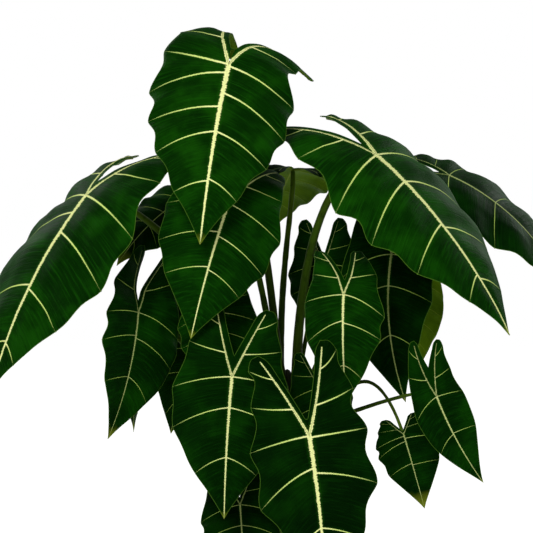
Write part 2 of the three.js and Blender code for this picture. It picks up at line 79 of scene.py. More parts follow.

# %% [markdown]
# ## The leaves' places
#
# Each leaf has a row: where stalk and blade join, where the tip hangs, which way the
# upper side looks, and how the blade arches, folds, curls and ripples. The same rows shape
# the solids in the frame, so each fine blade lies in the space that its coarse one holds.

# %% The leaves, roughly from the top down
# stalk: where round the stem it starts, how high and how thick, how far it climbs, how it turns out
LEAF_FIELDS = (
    "name", "joint", "tip", "face", "droop", "bend", "fold", "curl", "lobe_droop",
    "width", "lobes", "pairs", "wave", "stalk",
)
LEAF_ROWS = [
    ("crown", (-80, -80, 782), (-117, -140, 541), (0.05, -1, 0.2), 22, 6, 0, 30, 84,
     1, 1.2, 3, 4, (-135, 335, 6, 250, 100)),
    ("upper_right", (120, -75, 660), (295, -130, 420), (0.45, -0.6, 0.6), 34, 6, 0, 40, 22,
     0.9, 1, 4, 4, (-30, 305, 7.5, 180, 110)),
    ("upper_left", (-275, -60, 605), (-400, -100, 345), (-0.62, -0.5, 0.6), 30, -8, 0, 36, 35,
     0.95, 1, 5, 4, (180, 305, 6.5, 120, 120)),
    ("back_top", (8, 45, 640), (-20, 185, 550), (0, 0.55, 0.85), 40, 0, 6, 24, 30,
     0.95, 0.75, 3, 4, (128, 310, 5.5, 180, 60)),
    ("far_right", (232, 62, 632), (404, 78, 455), (0.3, -0.5, 0.85), 50, 0, 0, 34, 20,
     0.82, 0.65, 4, 4, (10, 285, 6, 150, 110)),
    ("upper_centre", (-80, -95, 595), (-130, -125, 415), (0.05, -1, 0.3), 20, 6, 0, 24, 40,
     1.1, 1.15, 4, 4, (-115, 275, 5.5, 150, 100)),
    ("left_back", (-150, 45, 598), (-240, 15, 505), (-0.2, -0.8, 0.6), 44, 0, 0, 30, 20,
     0.9, 0.9, 3, 4, (155, 265, 4.5, 130, 80)),
    ("right_centre", (146, 0, 522), (163, -50, 320), (-0.15, -1, 0.15), 24, 26, 20, 22, 20,
     0.78, 1.1, 4, 4, (-5, 245, 5.5, 120, 80)),
    ("right_bright", (190, 105, 475), (195, 130, 345), (0.35, 1, 0.35), 20, 0, 4, 20, 20,
     0.75, 0.9, 3, 4, (35, 205, 4.5, 130, 70)),
    ("centre_notch", (52, 9, 508), (59, 12, 390), (-0.1, -1, 0.2), 18, 0, 6, 20, 0,
     1.1, 1.1, 3, 3, (65, 235, 4, 120, 50)),
    ("right_inner", (75, -96, 472), (80, -84, 322), (-0.2, -1, 0), 50, 0, 8, 24, 20,
     0.88, 1, 3, 4, (-35, 210, 5, 140, 70)),
    ("left_outer", (-205, -60, 445), (-245, -90, 275), (0.55, -0.8, 0.1), 24, -8, 26, 22, 20,
     0.85, 1.1, 5, 4, (-160, 235, 5, 120, 100)),
    ("left_behind", (-190, 90, 420), (-222, 85, 260), (-0.8, -0.6, 0.2), 24, 0, 16, 20, 20,
     0.7, 0.9, 3, 4, (150, 205, 4.5, 120, 80)),
    ("left_under", (-165, 160, 455), (-185, 190, 325), (-0.2, 1, 0.35), 24, 0, 4, 20, 20,
     0.9, 0.9, 3, 4, (120, 215, 4.5, 120, 80)),
    ("left_inner", (-130, 35, 420), (-165, 30, 265), (-0.2, -1, 0.2), 20, 0, 10, 20, 20,
     0.85, 0.75, 3, 4, (200, 175, 4.5, 110, 60)),
    ("centre_left_back", (-95, -60, 445), (-90, -75, 320), (0.1, -1, 0.2), 16, 0, 4, 18, 18,
     1.1, 1, 3, 4, (-125, 215, 4.5, 120, 60)),
    ("centre_left", (-75, -135, 365), (-85, -165, 180), (0, -1, 0.15), 16, 4, 6, 18, 10,
     1.04, 1.1, 2, 4, (-110, 180, 6, 120, 60)),
    ("centre_right_back", (43, -68, 342), (58, -82, 228), (0, -1, 0.2), 16, 0, 6, 18, 15,
     0.95, 0.95, 3, 4, (-50, 150, 4.5, 100, 15)),
    ("right_arrow", (201, -100, 334), (262, -125, 221), (-0.2, -1, 0.2), 14, 14, 10, 14, 10,
     0.7, 1.25, 3, 2, (-70, 262, 3.5, 20, 50)),
    ("right_heart", (160, -50, 276), (187, -80, 178), (0, -1, 0.25), 16, 0, 8, 12, 10,
     1, 0.5, 3, 2, (10, 150, 3.5, 340, 20)),
    ("centre_right", (27, -185, 293), (50, -220, 75), (0.05, -1, 0.15), 14, -5, 6, 16, 10,
     0.92, 1.12, 3, 4, (-80, 140, 6, 130, 60)),
    ("low_centre", (-65, -90, 185), (-55, -140, 60), (0, -1, 0.3), 18, 0, 6, 16, 10,
     1, 0.9, 3, 3, (-100, 90, 4.5, 80, 40)),
]
LEAVES = [dict(zip(LEAF_FIELDS, row)) for row in LEAF_ROWS]
# What only some leaves have: a twist towards the tip, lobes that spread apart or sweep to one
# side, another place for the bottom of the notch, and a stalk that leaves the stem upright.
ODD = {
    "crown": dict(spread=0.14, sweep=0.14),
    "upper_left": dict(twist=-28),
    "centre_left": dict(notch=-0.14),
    "centre_right": dict(spread=0.08),
    "right_inner": dict(sweep=-0.1, notch=-0.14),
    "right_centre": dict(spread=0.25),
    "upper_right": dict(lean=0),
    "left_outer": dict(sweep=0.28),
    "right_arrow": dict(notch=-0.26),
}
for leaf in LEAVES:
    leaf.update(dict(twist=0, spread=0, sweep=0, notch=-0.09, lean=0.5), **ODD.get(leaf["name"], {}))
print(len(LEAVES), "leaves")

# %% [markdown]
# ## One blade, laid flat
#
# A blade is easiest to describe flat. u runs from the joint (0) to the tip (1) and back into
# the lobes (below 0), v runs out from the midrib, both as shares of the blade's length. Side
# veins are counted in steps, and the margin has a point where each one ends and a hollow
# between two. A grid of steps by shares from rib to margin then has every vein on a grid
# line, so ribs stay crisp however the blade bends.

# %% The flat outline
JOINT_STEP = 3  # the steps below this one lie on the lobe
OUTLINE_MARKS = [  # u and half width, from a lobe's end to the tip
    (-0.5, 0.17), (-0.485, 0.225), (-0.43, 0.262), (-0.33, 0.288), (-0.21, 0.32), (-0.06, 0.362),
    (0.12, 0.405), (0.27, 0.4), (0.42, 0.362), (0.56, 0.292), (0.7, 0.2), (0.82, 0.113), (0.92, 0.045),
    (1, 0),
]
LOBE_MARKS = 5  # the first ones, half a step apart, are where the lobe's veins end
LOBE_BEND = np.array((-0.15, 0.065))  # the rib of a lobe leaves the joint towards this point
LOBE_END = np.array((-0.455, 0.17))  # and ends at this one
LOBE_ROOTS = np.array([1, 0.9, 0.8, 0.61, 0.42, 0.2, 0])  # where veins leave it, by half steps
# the edge between the lobes: how far from its bottom to the lobe's end, and its v
NOTCH = np.array([(0, 0), (0.27, 0.04), (0.585, 0.085), (0.854, 0.12), (1, 0.17)])
LOBE_TIP = -0.5
VEIN_BOW = 0.3  # how far back a side vein's middle bows towards its root


def mix(a, b, share):
    return a + (b - a) * share


def through(points, at):
    """A smooth line through points that are one step apart, at the places in at."""
    points = np.asarray(points, float)
    last = len(points) - 1
    at = np.clip(np.asarray(at, float), 0, last)
    start = np.minimum(np.floor(at).astype(int), last - 1)
    t = at - start
    if points.ndim > 1:
        t = t[..., None]
    a, b, c, d = (points[np.clip(start + i, 0, last)] for i in (-1, 0, 1, 2))
    return b + 0.5 * t * (c - a + t * (2 * a - 5 * b + 4 * c - d + t * (3 * (b - c) + d - a)))


OUTLINE = through(OUTLINE_MARKS, np.linspace(0, len(OUTLINE_MARKS) - 1, 400))


def reach(u):
    """Half the blade's width at u."""
    return np.interp(u, OUTLINE[:, 0], OUTLINE[:, 1])


# Side veins from the joint on, as (root, end) along the blade: the half that turns right,
# then the half that turns left. Leaves that aren't named here have evenly spaced pairs.
VEINS = {
    "crown": (
        [(0.01, 0.14), (0.17, 0.35), (0.39, 0.54), (0.65, 0.75)],
        [(0, -0.04), (0.05, 0.2), (0.25, 0.37), (0.39, 0.54), (0.66, 0.74)],
    ),
    "upper_right": (
        [(0, 0.08), (0.18, 0.4), (0.45, 0.62), (0.72, 0.82)],
        [(0, 0.12), (0.18, 0.34), (0.43, 0.56), (0.7, 0.78)],
    ),
    "upper_left": (
        [(0, 0.1), (0.21, 0.38), (0.51, 0.64), (0.78, 0.86)],
        [(0, 0.03), (0.1, 0.31), (0.49, 0.62), (0.77, 0.83)],
    ),
    "upper_centre": ([(0, 0.14), (0.25, 0.43), (0.5, 0.64)], [(0, 0.1), (0.22, 0.38), (0.48, 0.6)]),
    "centre_left": ([(0, 0.05), (0.22, 0.36), (0.57, 0.69)], [(0, 0.1), (0.22, 0.38), (0.57, 0.69)]),
    "centre_right": (
        [(0.01, 0.0), (0.22, 0.32), (0.54, 0.62), (0.78, 0.86)],
        [(0, 0.05), (0.19, 0.4), (0.54, 0.72), (0.78, 0.88)],
    ),
    "right_centre": ([(0, 0.1), (0.22, 0.36), (0.55, 0.68)], [(0, 0.2), (0.22, 0.4), (0.55, 0.68)]),
    "right_inner": ([(0, 0.2), (0.25, 0.4), (0.62, 0.74)], [(0, 0.06), (0.23, 0.42), (0.62, 0.7)]),
    "left_outer": ([(0, 0.16), (0.2, 0.38), (0.5, 0.66)], [(0, 0.06), (0.18, 0.28), (0.5, 0.58)]),
    "right_arrow": ([(0, 0.04), (0.41, 0.44)], [(0, 0.16), (0.42, 0.54)]),
    "right_heart": ([(0.06, 0.12), (0.42, 0.44)], [(0.03, 0.1), (0.1, 0.24), (0.4, 0.5)]),
    "far_right": ([(0, 0.1), (0.3, 0.42), (0.6, 0.7)], [(0, 0.14), (0.3, 0.44), (0.6, 0.72)]),
}
# how deep the hollows between the veins' ends are, as a share of the half width
HOLLOWS = {
    "crown": 0.1, "upper_left": 0.025, "centre_right": 0.12, "left_outer": 0.035,
    "right_arrow": 0.03, "upper_right": 0.07,
}
PLAIN_HOLLOW = 0.06


def vein_rules(leaf, number, half):
    """Where veins start and end, by steps, and how deep the hollow past each one is."""
    rng = np.random.RandomState(40 + 2 * number + (half > 0))
    if leaf["name"] in VEINS:
        veins = VEINS[leaf["name"]][0 if half > 0 else 1]
    else:
        pairs = leaf["pairs"]
        roots = [0] + [0.92 * k / (pairs + 1) + rng.uniform(-0.03, 0.03) for k in range(1, pairs + 1)]
        veins = [(root, root + 0.13 + rng.uniform(-0.03, 0.03)) for root in roots]
    last = JOINT_STEP + len(veins)
    notch = NOTCH.copy()
    notch[:, 0] = mix(leaf["notch"], LOBE_TIP, NOTCH[:, 0])
    hollow = HOLLOWS.get(leaf["name"], PLAIN_HOLLOW) * rng.uniform(0.6, 1.4, last + 1)
    blade_steps = range(JOINT_STEP, last + 1)
    lobe_steps, lobe_ends = np.arange(LOBE_MARKS) / 2, [u for u, _ in OUTLINE_MARKS[:LOBE_MARKS]]
    return dict(
        last=last,
        notch=notch,
        root=(blade_steps, [v[0] for v in veins] + [1]),
        end=([*lobe_steps, *blade_steps], [*lobe_ends, *(v[1] for v in veins), 1]),
        depth=hollow * np.r_[0.1, 0.9, 1, np.ones(last - 4), 0.5, 0],
    )


def lobe_rib(share):
    """A point on the rib of a lobe, from the joint (0) to its end (1)."""
    share = np.asarray(share, float)[..., None]
    return mix(share * LOBE_BEND, mix(LOBE_BEND, LOBE_END, share), share)


def rib_point(step, rules):
    """Where the vein of a step starts, on the lobe's rib or the midrib."""
    on_midrib = np.stack([np.interp(step, *rules["root"]), 0 * step], -1)
    return np.where(step[..., None] >= JOINT_STEP, on_midrib, lobe_rib(through(LOBE_ROOTS, 2 * step)))


def margin_point(step, rules):
    """Where it ends, on the margin, with a hollow just past each vein's end."""
    u = np.interp(step, *rules["end"])
    past = (step % 1) ** 0.8
    depth = rules["depth"][np.minimum(step.astype(int), rules["last"])]
    return np.stack([u, reach(u) * (1 - depth * (1 - np.cos(2 * np.pi * past)) / 2)], -1)


def outer_point(step, share, rules):
    """A flat point between rib and margin, on the outer side of the rib."""
    rib, margin = rib_point(step, rules), margin_point(step, rules)
    bow = VEIN_BOW * np.minimum(1, step)
    turn_u, turn_v = mix(rib[..., 0], margin[..., 0], 0.5 - bow), mix(rib[..., 1], margin[..., 1], 0.5)
    turn = np.stack([turn_u, turn_v], -1)
    share = share[..., None]
    return mix(mix(rib, turn, share), mix(turn, margin, share), share)


def inner_point(step, share, rules):
    """A flat point between the rib of a lobe and the notch."""
    along = through(LOBE_ROOTS, 2 * step)
    return mix(rib_point(step, rules), through(rules["notch"], along * (len(NOTCH) - 1)), share[..., None])


# %% [markdown]
# ## Bending it
#
# The flat point is then carried along an arc: the midrib bends about a hinge line, the lobes
# bend further, and each half rolls over about the midrib. Everything is in millimetres from
# the soil's surface, as in the leaf rows.

# %% The bent blade
# shares of a blade's length: the lobes', over which they droop, and the half width, over which it curls
LOBE_LENGTH, HALF_WIDTH = 0.5, 0.42


def turned_about(vectors, axis, angle):
    """Vectors turned about a unit axis, with one angle each."""
    angle = np.asarray(angle)[..., None]
    along = (vectors @ axis)[..., None] * axis
    return vectors * np.cos(angle) + np.cross(axis, vectors) * np.sin(angle) + along * (1 - np.cos(angle))


def unit(vector):
    return vector / np.linalg.norm(vector)


def blade_form(leaf):
    """The blade's length and its axes at the joint."""
    joint, tip = np.array(leaf["joint"], float), np.array(leaf["tip"], float)
    chord = tip - joint
    turn = math.radians(math.hypot(leaf["droop"], leaf["bend"]))
    length = np.linalg.norm(chord) * turn / 2 / math.sin(turn / 2)
    along = unit(chord)
    face = np.array(leaf["face"], float)
    up = unit(face - (face @ along) * along)
    side = np.cross(up, along)
    hinge = unit(side * leaf["droop"] + up * leaf["bend"])
    along, up, side = (turned_about(axis, hinge, -turn / 2) for axis in (along, up, side))
    return dict(joint=joint, length=length, turn=turn, along=along, up=up, side=side, hinge=hinge)


def placed(leaf, form, flat, lift):
    """Flat points, one array row each, in their bent places, raised by lift."""
    u, v = flat[:, 0], flat[:, 1]
    v = v + np.sign(v) * leaf["spread"] * np.maximum(-u, 0)
    length = form["length"]
    distance = u * length * np.where(u < 0, leaf["lobes"], 1)
    blade_turn = form["turn"] / length
    lobe_turn = blade_turn + math.radians(leaf["lobe_droop"]) / (LOBE_LENGTH * length)
    rate = np.where(u < 0, lobe_turn, blade_turn)
    angle = rate * distance
    across = np.cross(form["hinge"], form["along"])
    ahead, aside = (np.sin(angle) / rate)[:, None], ((1 - np.cos(angle)) / rate)[:, None]
    point = form["joint"] + ahead * form["along"] + aside * across
    out = turned_about(np.tile(form["side"], (len(u), 1)), form["hinge"], angle)
    normal = turned_about(np.tile(form["up"], (len(u), 1)), form["hinge"], angle)
    twist = (math.radians(leaf["twist"]) * np.maximum(u, 0))[:, None]
    out, normal = out * np.cos(twist) + normal * np.sin(twist), normal * np.cos(twist) - out * np.sin(twist)
    from_rib = np.abs(v) * length * leaf["width"]
    curl = math.radians(leaf["curl"]) / (HALF_WIDTH * length)
    fold = math.radians(leaf["fold"])
    end = fold - curl * from_rib
    sideways = np.sign(v) * (math.sin(fold) - np.sin(end)) / curl
    sideways += leaf["sweep"] * length * np.maximum((-u - 0.15) / 0.35, 0) ** 1.4
    rise = (np.cos(end) - math.cos(fold)) / curl
    return point + out * sideways[:, None] + normal * (rise + lift)[:, None]


# %% [markdown]
# ## Relief and ribs
#
# The flat grid is dense beside the ribs and open between them. On it are measured the
# distances to the nearest rib and side vein, as a share of its own half width, which narrows
# from joint to tip, and to the margin in millimetres. They raise the ribs in the mesh, and
# they are kept as attributes, so that the finish can draw the same ribs.

# %% The grid and its measures
ROWS_PER_STEP = 16
COLUMNS = 22  # from rib to margin
INNER_COLUMNS = 9  # from a lobe's rib to the notch
BLADE_THICKNESS = 0.8
RIB_SIZE = 0.015  # the midrib's half width at the joint, as a share of the blade's length
VEIN_SHARE = 0.38  # a side vein's half width at its root, as a share of that
MEASURES = ("rib", "vein", "edge", "step", "share", "inner", "broad")


def polyline_distance(points, line):
    """How far each point is from a line of points."""
    best = np.full(len(points), 1e9)
    for a, b in zip(line[:-1], line[1:]):
        ab = b - a
        t = np.clip(((points - a) @ ab) / max(ab @ ab, 1e-12), 0, 1)
        best = np.minimum(best, np.linalg.norm(points - a - t[:, None] * ab, axis=1))
    return best


def crowded(count):
    """Steps from 0 to count, close together near each whole one."""
    t = np.arange(count * ROWS_PER_STEP + 1) / ROWS_PER_STEP
    return t - 0.11 * np.sin(2 * np.pi * t)


def ripples(x, y, seed):
    """A gentle uneven swell, mostly between -1 and 1."""
    rng = np.random.RandomState(seed)
    total = np.zeros_like(x)
    for scale in (0.9, 1.7, 2.9, 4.3):
        a, b, c = rng.uniform(0.5, 1.5), rng.uniform(0.5, 1.5), rng.uniform(0, 6.3)
        one_way, other_way = scale * (a * x + b * y) * 6.3 + c, scale * (b * x - a * y) * 5.1 + 2 * c
        total += np.sin(one_way) * np.cos(other_way) / scale
    return total / 1.8


def half_blade(leaf, number, form, half):
    """The flat points and measures of one half of a blade, outside the rib and inside the lobe."""
    rules, length = vein_rules(leaf, number, half), form["length"]
    steps = crowded(rules["last"])
    shares = np.linspace(0, 1, COLUMNS + 1) ** 1.35
    lobe_steps = steps[: JOINT_STEP * ROWS_PER_STEP + 1]
    inner_shares = np.linspace(0, 1, INNER_COLUMNS + 1) ** 1.2
    millimetres = np.array((length, length * leaf["width"]))
    lobe = lobe_rib(np.linspace(0, 1, 25))
    midrib = np.stack([np.linspace(0, 1, 40), np.zeros(40)], -1)
    rib_line = np.concatenate([lobe[::-1], midrib]) * millimetres
    vein_shares = np.linspace(0, 1, 17)
    veins = [
        outer_point(np.full(len(vein_shares), float(k)), vein_shares, rules) * millimetres
        for k in range(1, rules["last"])
    ]
    edge_line = margin_point(np.linspace(0, rules["last"], 240), rules) * millimetres
    notch_line = through(rules["notch"], np.linspace(0, len(NOTCH) - 1, 40)) * millimetres
    size = RIB_SIZE * length * LOOKS.get(leaf["name"], QUIET)[2]
    parts = []
    for at, ss, hh, inner in ((outer_point, steps, shares, 0), (inner_point, lobe_steps, inner_shares, 1)):
        step, share = np.meshgrid(ss, hh, indexing="ij")
        grid = at(step, share, rules)
        step, share, flat = step.ravel(), share.ravel(), grid.reshape(-1, 2)
        points = flat * millimetres
        on_blade = step >= JOINT_STEP
        lobe_roots = through(LOBE_ROOTS, 2 * np.minimum(step, JOINT_STEP))
        along = np.clip(np.where(on_blade, np.interp(step, *rules["root"]), lobe_roots), 0, 1)
        taper = np.where(on_blade, mix(1.0, 0.24, along**0.8), mix(0.66, 0.25, along))
        vein = np.min([polyline_distance(points, line) for line in veins], axis=0)
        fading = np.clip((0.98 - share) * 7, 0.05, 1)
        vein /= size * VEIN_SHARE * (1 - 0.4 * along) * mix(1.0, 0.42, share) * fading
        parts.append(dict(
            flat=flat * (1, half),
            shape=grid.shape[:2],
            rib=polyline_distance(points, rib_line) / (size * taper),
            vein=vein + 3 * inner,
            edge=np.minimum(polyline_distance(points, edge_line), polyline_distance(points, notch_line)),
            step=step,
            share=share,
            inner=0 * step + inner,
            broad=np.clip(reach(flat[:, 0]) / 0.4, 0, 1),
        ))
    return parts


def blade_grid(leaf, number, form):
    """Both halves as one sheet: flat points, faces and measures."""
    index, flat, measures, sheets = {}, [], {name: [] for name in MEASURES}, []
    for half in (1, -1):
        for part in half_blade(leaf, number, form, half):
            ids = []
            for i, key in enumerate(map(tuple, np.round(part["flat"] * 1e5).astype(int))):
                if key not in index:
                    index[key] = len(flat)
                    flat.append(part["flat"][i])
                    for name in MEASURES:
                        measures[name].append(part[name][i])
                ids.append(index[key])
            sheets.append((np.array(ids).reshape(part["shape"]), half))
    flat = np.array(flat)
    # the two halves have their own rows, so a face on the midrib takes in the other half's points
    on_midrib = [i for i in np.argsort(flat[:, 0]) if flat[i, 1] == 0 and flat[i, 0] >= 0]
    order = {point: place for place, point in enumerate(on_midrib)}
    faces = []
    for ids, half in sheets:
        quads = np.stack([ids[:-1, :-1], ids[1:, :-1], ids[1:, 1:], ids[:-1, 1:]], -1).reshape(-1, 4)
        for quad in quads.tolist():
            a, b = quad[0], quad[1]
            if a in order and b in order:
                quad = on_midrib[order[a]: order[b] + 1] + quad[2:]
            corners = list(dict.fromkeys(quad))
            if len(corners) > 2:
                faces.append(corners if half > 0 else corners[::-1])
    return flat, faces, {name: np.array(values) for name, values in measures.items()}


# how bright each blade's green is, how pale its ribs are, and how wide they are; the green
# and the ribs' paleness are partly each blade's own colour and partly painted shade, lower
# on the blades set low or back in the plant
QUIET = (0.3, 0.3, 0.5)  # for the blades that aren't named
LOOKS = {
    "crown": (0.9, 1, 1), "upper_right": (1, 0.85, 0.95), "upper_left": (0.8, 0.85, 0.95),
    "upper_centre": (0.8, 0.8, 0.8), "far_right": (0.05, 0.35, 0.5), "left_back": (0.2, 0.35, 0.5),
    "right_centre": (0.1, 0.35, 0.6), "right_bright": (0.9, 0.7, 0.7), "centre_notch": (0.3, 0.4, 0.5),
    "right_inner": (0.8, 0.85, 0.85), "left_outer": (0.4, 0.35, 0.55), "centre_left_back": (0.6, 0.5, 0.6),
    "centre_left": (0.35, 0.9, 0.85), "centre_right": (0.1, 1, 1), "right_arrow": (0.4, 0.5, 0.7),
    "right_heart": (0.2, 0.45, 0.7),
    "low_centre": (0, 0.4, 0.6),
}
# the share of a blade's length that has turned yellow at its tip, where it is more than usual
DRY_TIPS = {"right_heart": 0.22, "left_back": 0.2, "left_outer": 0.1, "left_behind": 0.09}


# heights as shares of a blade's length: the swell between veins and its unevenness, then how far
# the midrib and the side veins stand out above and below
SWELL, UNEVEN = 0.014, 0.008
RIB_RISE, VEIN_RISE, RIB_KEEL, VEIN_KEEL = 0.0022, 0.001, 0.011, 0.0035


def keep(mesh, name, values):
    """Keeps one number or vector for each point of a mesh as an attribute."""
    values = np.asarray(values, np.float32)
    kind, field = ("FLOAT_VECTOR", "vector") if values.ndim > 1 else ("FLOAT", "value")
    mesh.attributes.new(name, kind, "POINT").data.foreach_set(field, values.ravel())


def blade_piece(leaf, number):
    """The finished blade: upper and under surface, rim, and the measures as attributes."""
    form = blade_form(leaf)
    length = form["length"]
    flat, faces, m = blade_grid(leaf, number, form)

    # relief in millimetres: a swell between the veins, a rippled margin, and the raised ribs
    outer = 1 - m["inner"]
    between = np.sin(np.pi * (m["step"] % 1)) ** 2
    plump = between * np.sin(np.pi * np.clip(m["share"], 0, 1)) * outer
    swell = SWELL * length * plump * m["broad"]
    wave = -leaf["wave"] * m["share"] ** 2 * np.cos(2 * np.pi * m["step"]) * outer * m["broad"] ** 2
    rough = ripples(flat[:, 0] * 1.3, flat[:, 1] * 1.3, 11 + number)
    body = swell + wave + UNEVEN * length * rough * np.clip(m["share"] * 2, 0, 1)
    rib_crest = np.exp(-(m["rib"] ** 2) * 0.9)
    vein_crest = np.exp(-(m["vein"] ** 2) * 0.9)
    half_thickness = np.clip(m["edge"] / 4, 0.35, 1) * BLADE_THICKNESS / 2
    keel = RIB_KEEL * length * rib_crest * np.clip(1.1 - flat[:, 0], 0.15, 1)
    upper = body + half_thickness + RIB_RISE * length * rib_crest + VEIN_RISE * length * vein_crest
    under = body - half_thickness - keel - VEIN_KEEL * length * vein_crest
    top, low = placed(leaf, form, flat, upper), placed(leaf, form, flat, under)

    count = len(flat)
    open_edges = {}
    for face in faces:
        for a, b in zip(face, face[1:] + face[:1]):
            if open_edges.pop((b, a), None) is None:
                open_edges[(a, b)] = True
    all_faces = faces + [[i + count for i in reversed(face)] for face in faces]
    all_faces += [[a, a + count, b + count, b] for a, b in open_edges]
    mesh = bpy.data.meshes.new(f"blade_{leaf['name']}")
    places = np.concatenate([top, low]) + (0, 0, SOIL_LEVEL)
    mesh.from_pydata((places * MM).tolist(), [], all_faces)
    mesh.validate()
    mesh.shade_smooth()

    tone, pallor, _ = LOOKS.get(leaf["name"], QUIET)
    dried = DRY_TIPS.get(leaf["name"], 0.05)
    for name, most in (("rib", 12), ("vein", 12), ("edge", 30)):
        keep(mesh, name, np.tile(np.minimum(m[name], most), 2))
    keep(mesh, "under", np.repeat((0, 1), count))
    # tone and pallor: the blade's own colour, and painted shade on the blades set low or back
    keep(mesh, "tone", np.full(2 * count, tone))
    keep(mesh, "pallor", np.full(2 * count, pallor))
    keep(mesh, "dry", np.tile(np.clip((flat[:, 0] + dried - 1) / dried, 0, 1) ** 0.7, 2))
    # the third numbers set each blade apart in the noise that colours it
    across = flat[:, 1] * length * leaf["width"]
    keep(mesh, "lay", np.tile(np.c_[flat[:, 0] * length, across, np.full(count, number * 37.0)], (2, 1)))
    keep(mesh, "weft", np.tile(np.c_[m["step"], m["share"], np.full(count, number * 3.0)], (2, 1)))
    return bpy.data.objects.new(f"blade_{leaf['name']}", mesh)


# %% [markdown]
# ## Shader helpers
#
# Small helpers keep the node code short: they place a node, set or link its inputs, and open a
# node group. The ribs' group puts out only masks, and each finish keeps its own Principled
# shader. Geometry Nodes trees are opened and filled by the same helpers.

# %% Node helpers
FLOAT, WHOLE, VECTOR = "NodeSocketFloat", "NodeSocketInt", "NodeSocketVector"
GEOMETRY, MATERIAL = "NodeSocketGeometry", "NodeSocketMaterial"


def dress(tree, made, **inputs):
    """Sets or links a node's inputs, by name or, as i0, i1 and so on, by number."""
    for name, value in inputs.items():
        socket = made.inputs[int(name[1:]) if name[1:].isdigit() else name.replace("_", " ")]
        if isinstance(value, bpy.types.Node):
            value = value.outputs[0]
        if isinstance(value, bpy.types.NodeSocket):
            tree.links.new(value, socket)
        else:
            socket.default_value = value


def node(tree, kind, **settings):
    """Places a node: a name that starts with _ is a property, the others are inputs."""
    made = tree.nodes.new(kind)
    for name, value in settings.items():
        if name[0] == "_":
            setattr(made, name[1:], value)
    dress(tree, made, **{name: value for name, value in settings.items() if name[0] != "_"})
    return made


def maths(tree, operation, a, b=0.5, c=0.5, clamp=False):
    return node(tree, "ShaderNodeMath", _operation=operation, _use_clamp=clamp, i0=a, i1=b, i2=c).outputs[0]


def plus(tree, a, b):
    return maths(tree, "ADD", a, b)


def times(tree, a, b, clamp=False):
    return maths(tree, "MULTIPLY", a, b, clamp=clamp)


def blend(tree, share, a, b):
    return node(tree, "ShaderNodeMix", _data_type="RGBA", i0=share, i6=a, i7=b).outputs[2]


def layered(tree, base, *layers):
    """A colour with others laid over it in turn, each as a share and a colour."""
    for share, colour in layers:
        base = blend(tree, share, base, colour)
    return base


def ramp(tree, value, low, high, start=0.0, end=1.0, kind="SMOOTHSTEP"):
    ends = dict(i1=low, i2=high, i3=start, i4=end)
    return node(tree, "ShaderNodeMapRange", _interpolation_type=kind, i0=value, **ends).outputs[0]


def noise(tree, vector, scale, detail, roughness=0.5):
    settings = dict(Scale=scale, Detail=detail, Roughness=roughness)
    return node(tree, "ShaderNodeTexNoise", Vector=vector, **settings).outputs[0]


def stretched(tree, vector, scale, detail, roughness=0.5):
    """Noise drawn out along some directions of a vector."""
    return noise(tree, node(tree, "ShaderNodeMapping", Vector=vector, Scale=scale), 1.0, detail, roughness)


def attribute(tree, name, output="Fac"):
    return node(tree, "ShaderNodeAttribute", _attribute_name=name).outputs[output]


def own_place(tree):
    """Where a point is, in the object's own coordinates."""
    return node(tree, "ShaderNodeTexCoord").outputs["Object"]


def bumps(tree, height, strength, depth):
    """The normal of a surface with bumps, whose depth is in metres."""
    return node(tree, "ShaderNodeBump", Strength=strength, Distance=depth, Height=height)


def group(name, kind, inputs, outputs):
    """A node group with named inputs (name, kind, value) and outputs (name, kind).

    Gives the tree, the sockets that it starts from and the node that it ends in.
    """
    tree = bpy.data.node_groups.new(name, kind)
    for label, socket_kind, value in inputs:
        socket = tree.interface.new_socket(label, in_out="INPUT", socket_type=socket_kind)
        if value is not None:
            socket.default_value = value
    for label, socket_kind in outputs:
        tree.interface.new_socket(label, in_out="OUTPUT", socket_type=socket_kind)
    start, end = tree.nodes.new("NodeGroupInput"), tree.nodes.new("NodeGroupOutput")
    return tree, start.outputs, end


def material(name):
    """A new material and its Principled shader."""
    made = bpy.data.materials.new(name)
    made.use_nodes = True
    return made, made.node_tree, made.node_tree.nodes["Principled BSDF"]


def srgb(red, green, blue):
    """A colour given as 0 to 255 values, as the shader wants it."""
    def linear(c):
        c /= 255
        return c / 12.92 if c <= 0.04045 else ((c + 0.055) / 1.055) ** 2.4
    return (linear(red), linear(green), linear(blue), 1)


# %% The blade's finish


def rib_group():
    """Masks of the ribs, their halo and the margin line. Fine barbs feather the ribs' edges."""
    tree, start, end = group(
        "rib_masks", "ShaderNodeTree",
        [("Feather", FLOAT, 1.0), ("Margin Width", FLOAT, 1.0)],
        [("Ribs", FLOAT), ("Halo", FLOAT), ("Margin", FLOAT)],
    )
    feather = start["Feather"]
    barbs = stretched(tree, attribute(tree, "lay", "Vector"), (0.62, 0.1, 1.0), 3.0, 0.7)
    hairs = stretched(tree, attribute(tree, "weft", "Vector"), (7.0, 70.0, 1.0), 2.0, 0.6)
    rib_shift = times(tree, maths(tree, "SUBTRACT", barbs, 0.47), times(tree, feather, 2.4))
    vein_shift = times(tree, maths(tree, "SUBTRACT", hairs, 0.47), times(tree, feather, 1.5))
    rib, vein = plus(tree, attribute(tree, "rib"), rib_shift), plus(tree, attribute(tree, "vein"), vein_shift)
    nearest = maths(tree, "MINIMUM", rib, vein)
    edge = maths(tree, "DIVIDE", attribute(tree, "edge"), start["Margin Width"])
    dress(
        tree, end,
        Ribs=ramp(tree, nearest, 0.75, 1.15, 1.0, 0.0),
        Halo=ramp(tree, nearest, 0.9, 3.0, 1.0, 0.0),
        Margin=ramp(tree, edge, 0.4, 1.1, 1.0, 0.0),
    )
    return tree


RIB_MASKS = rib_group()


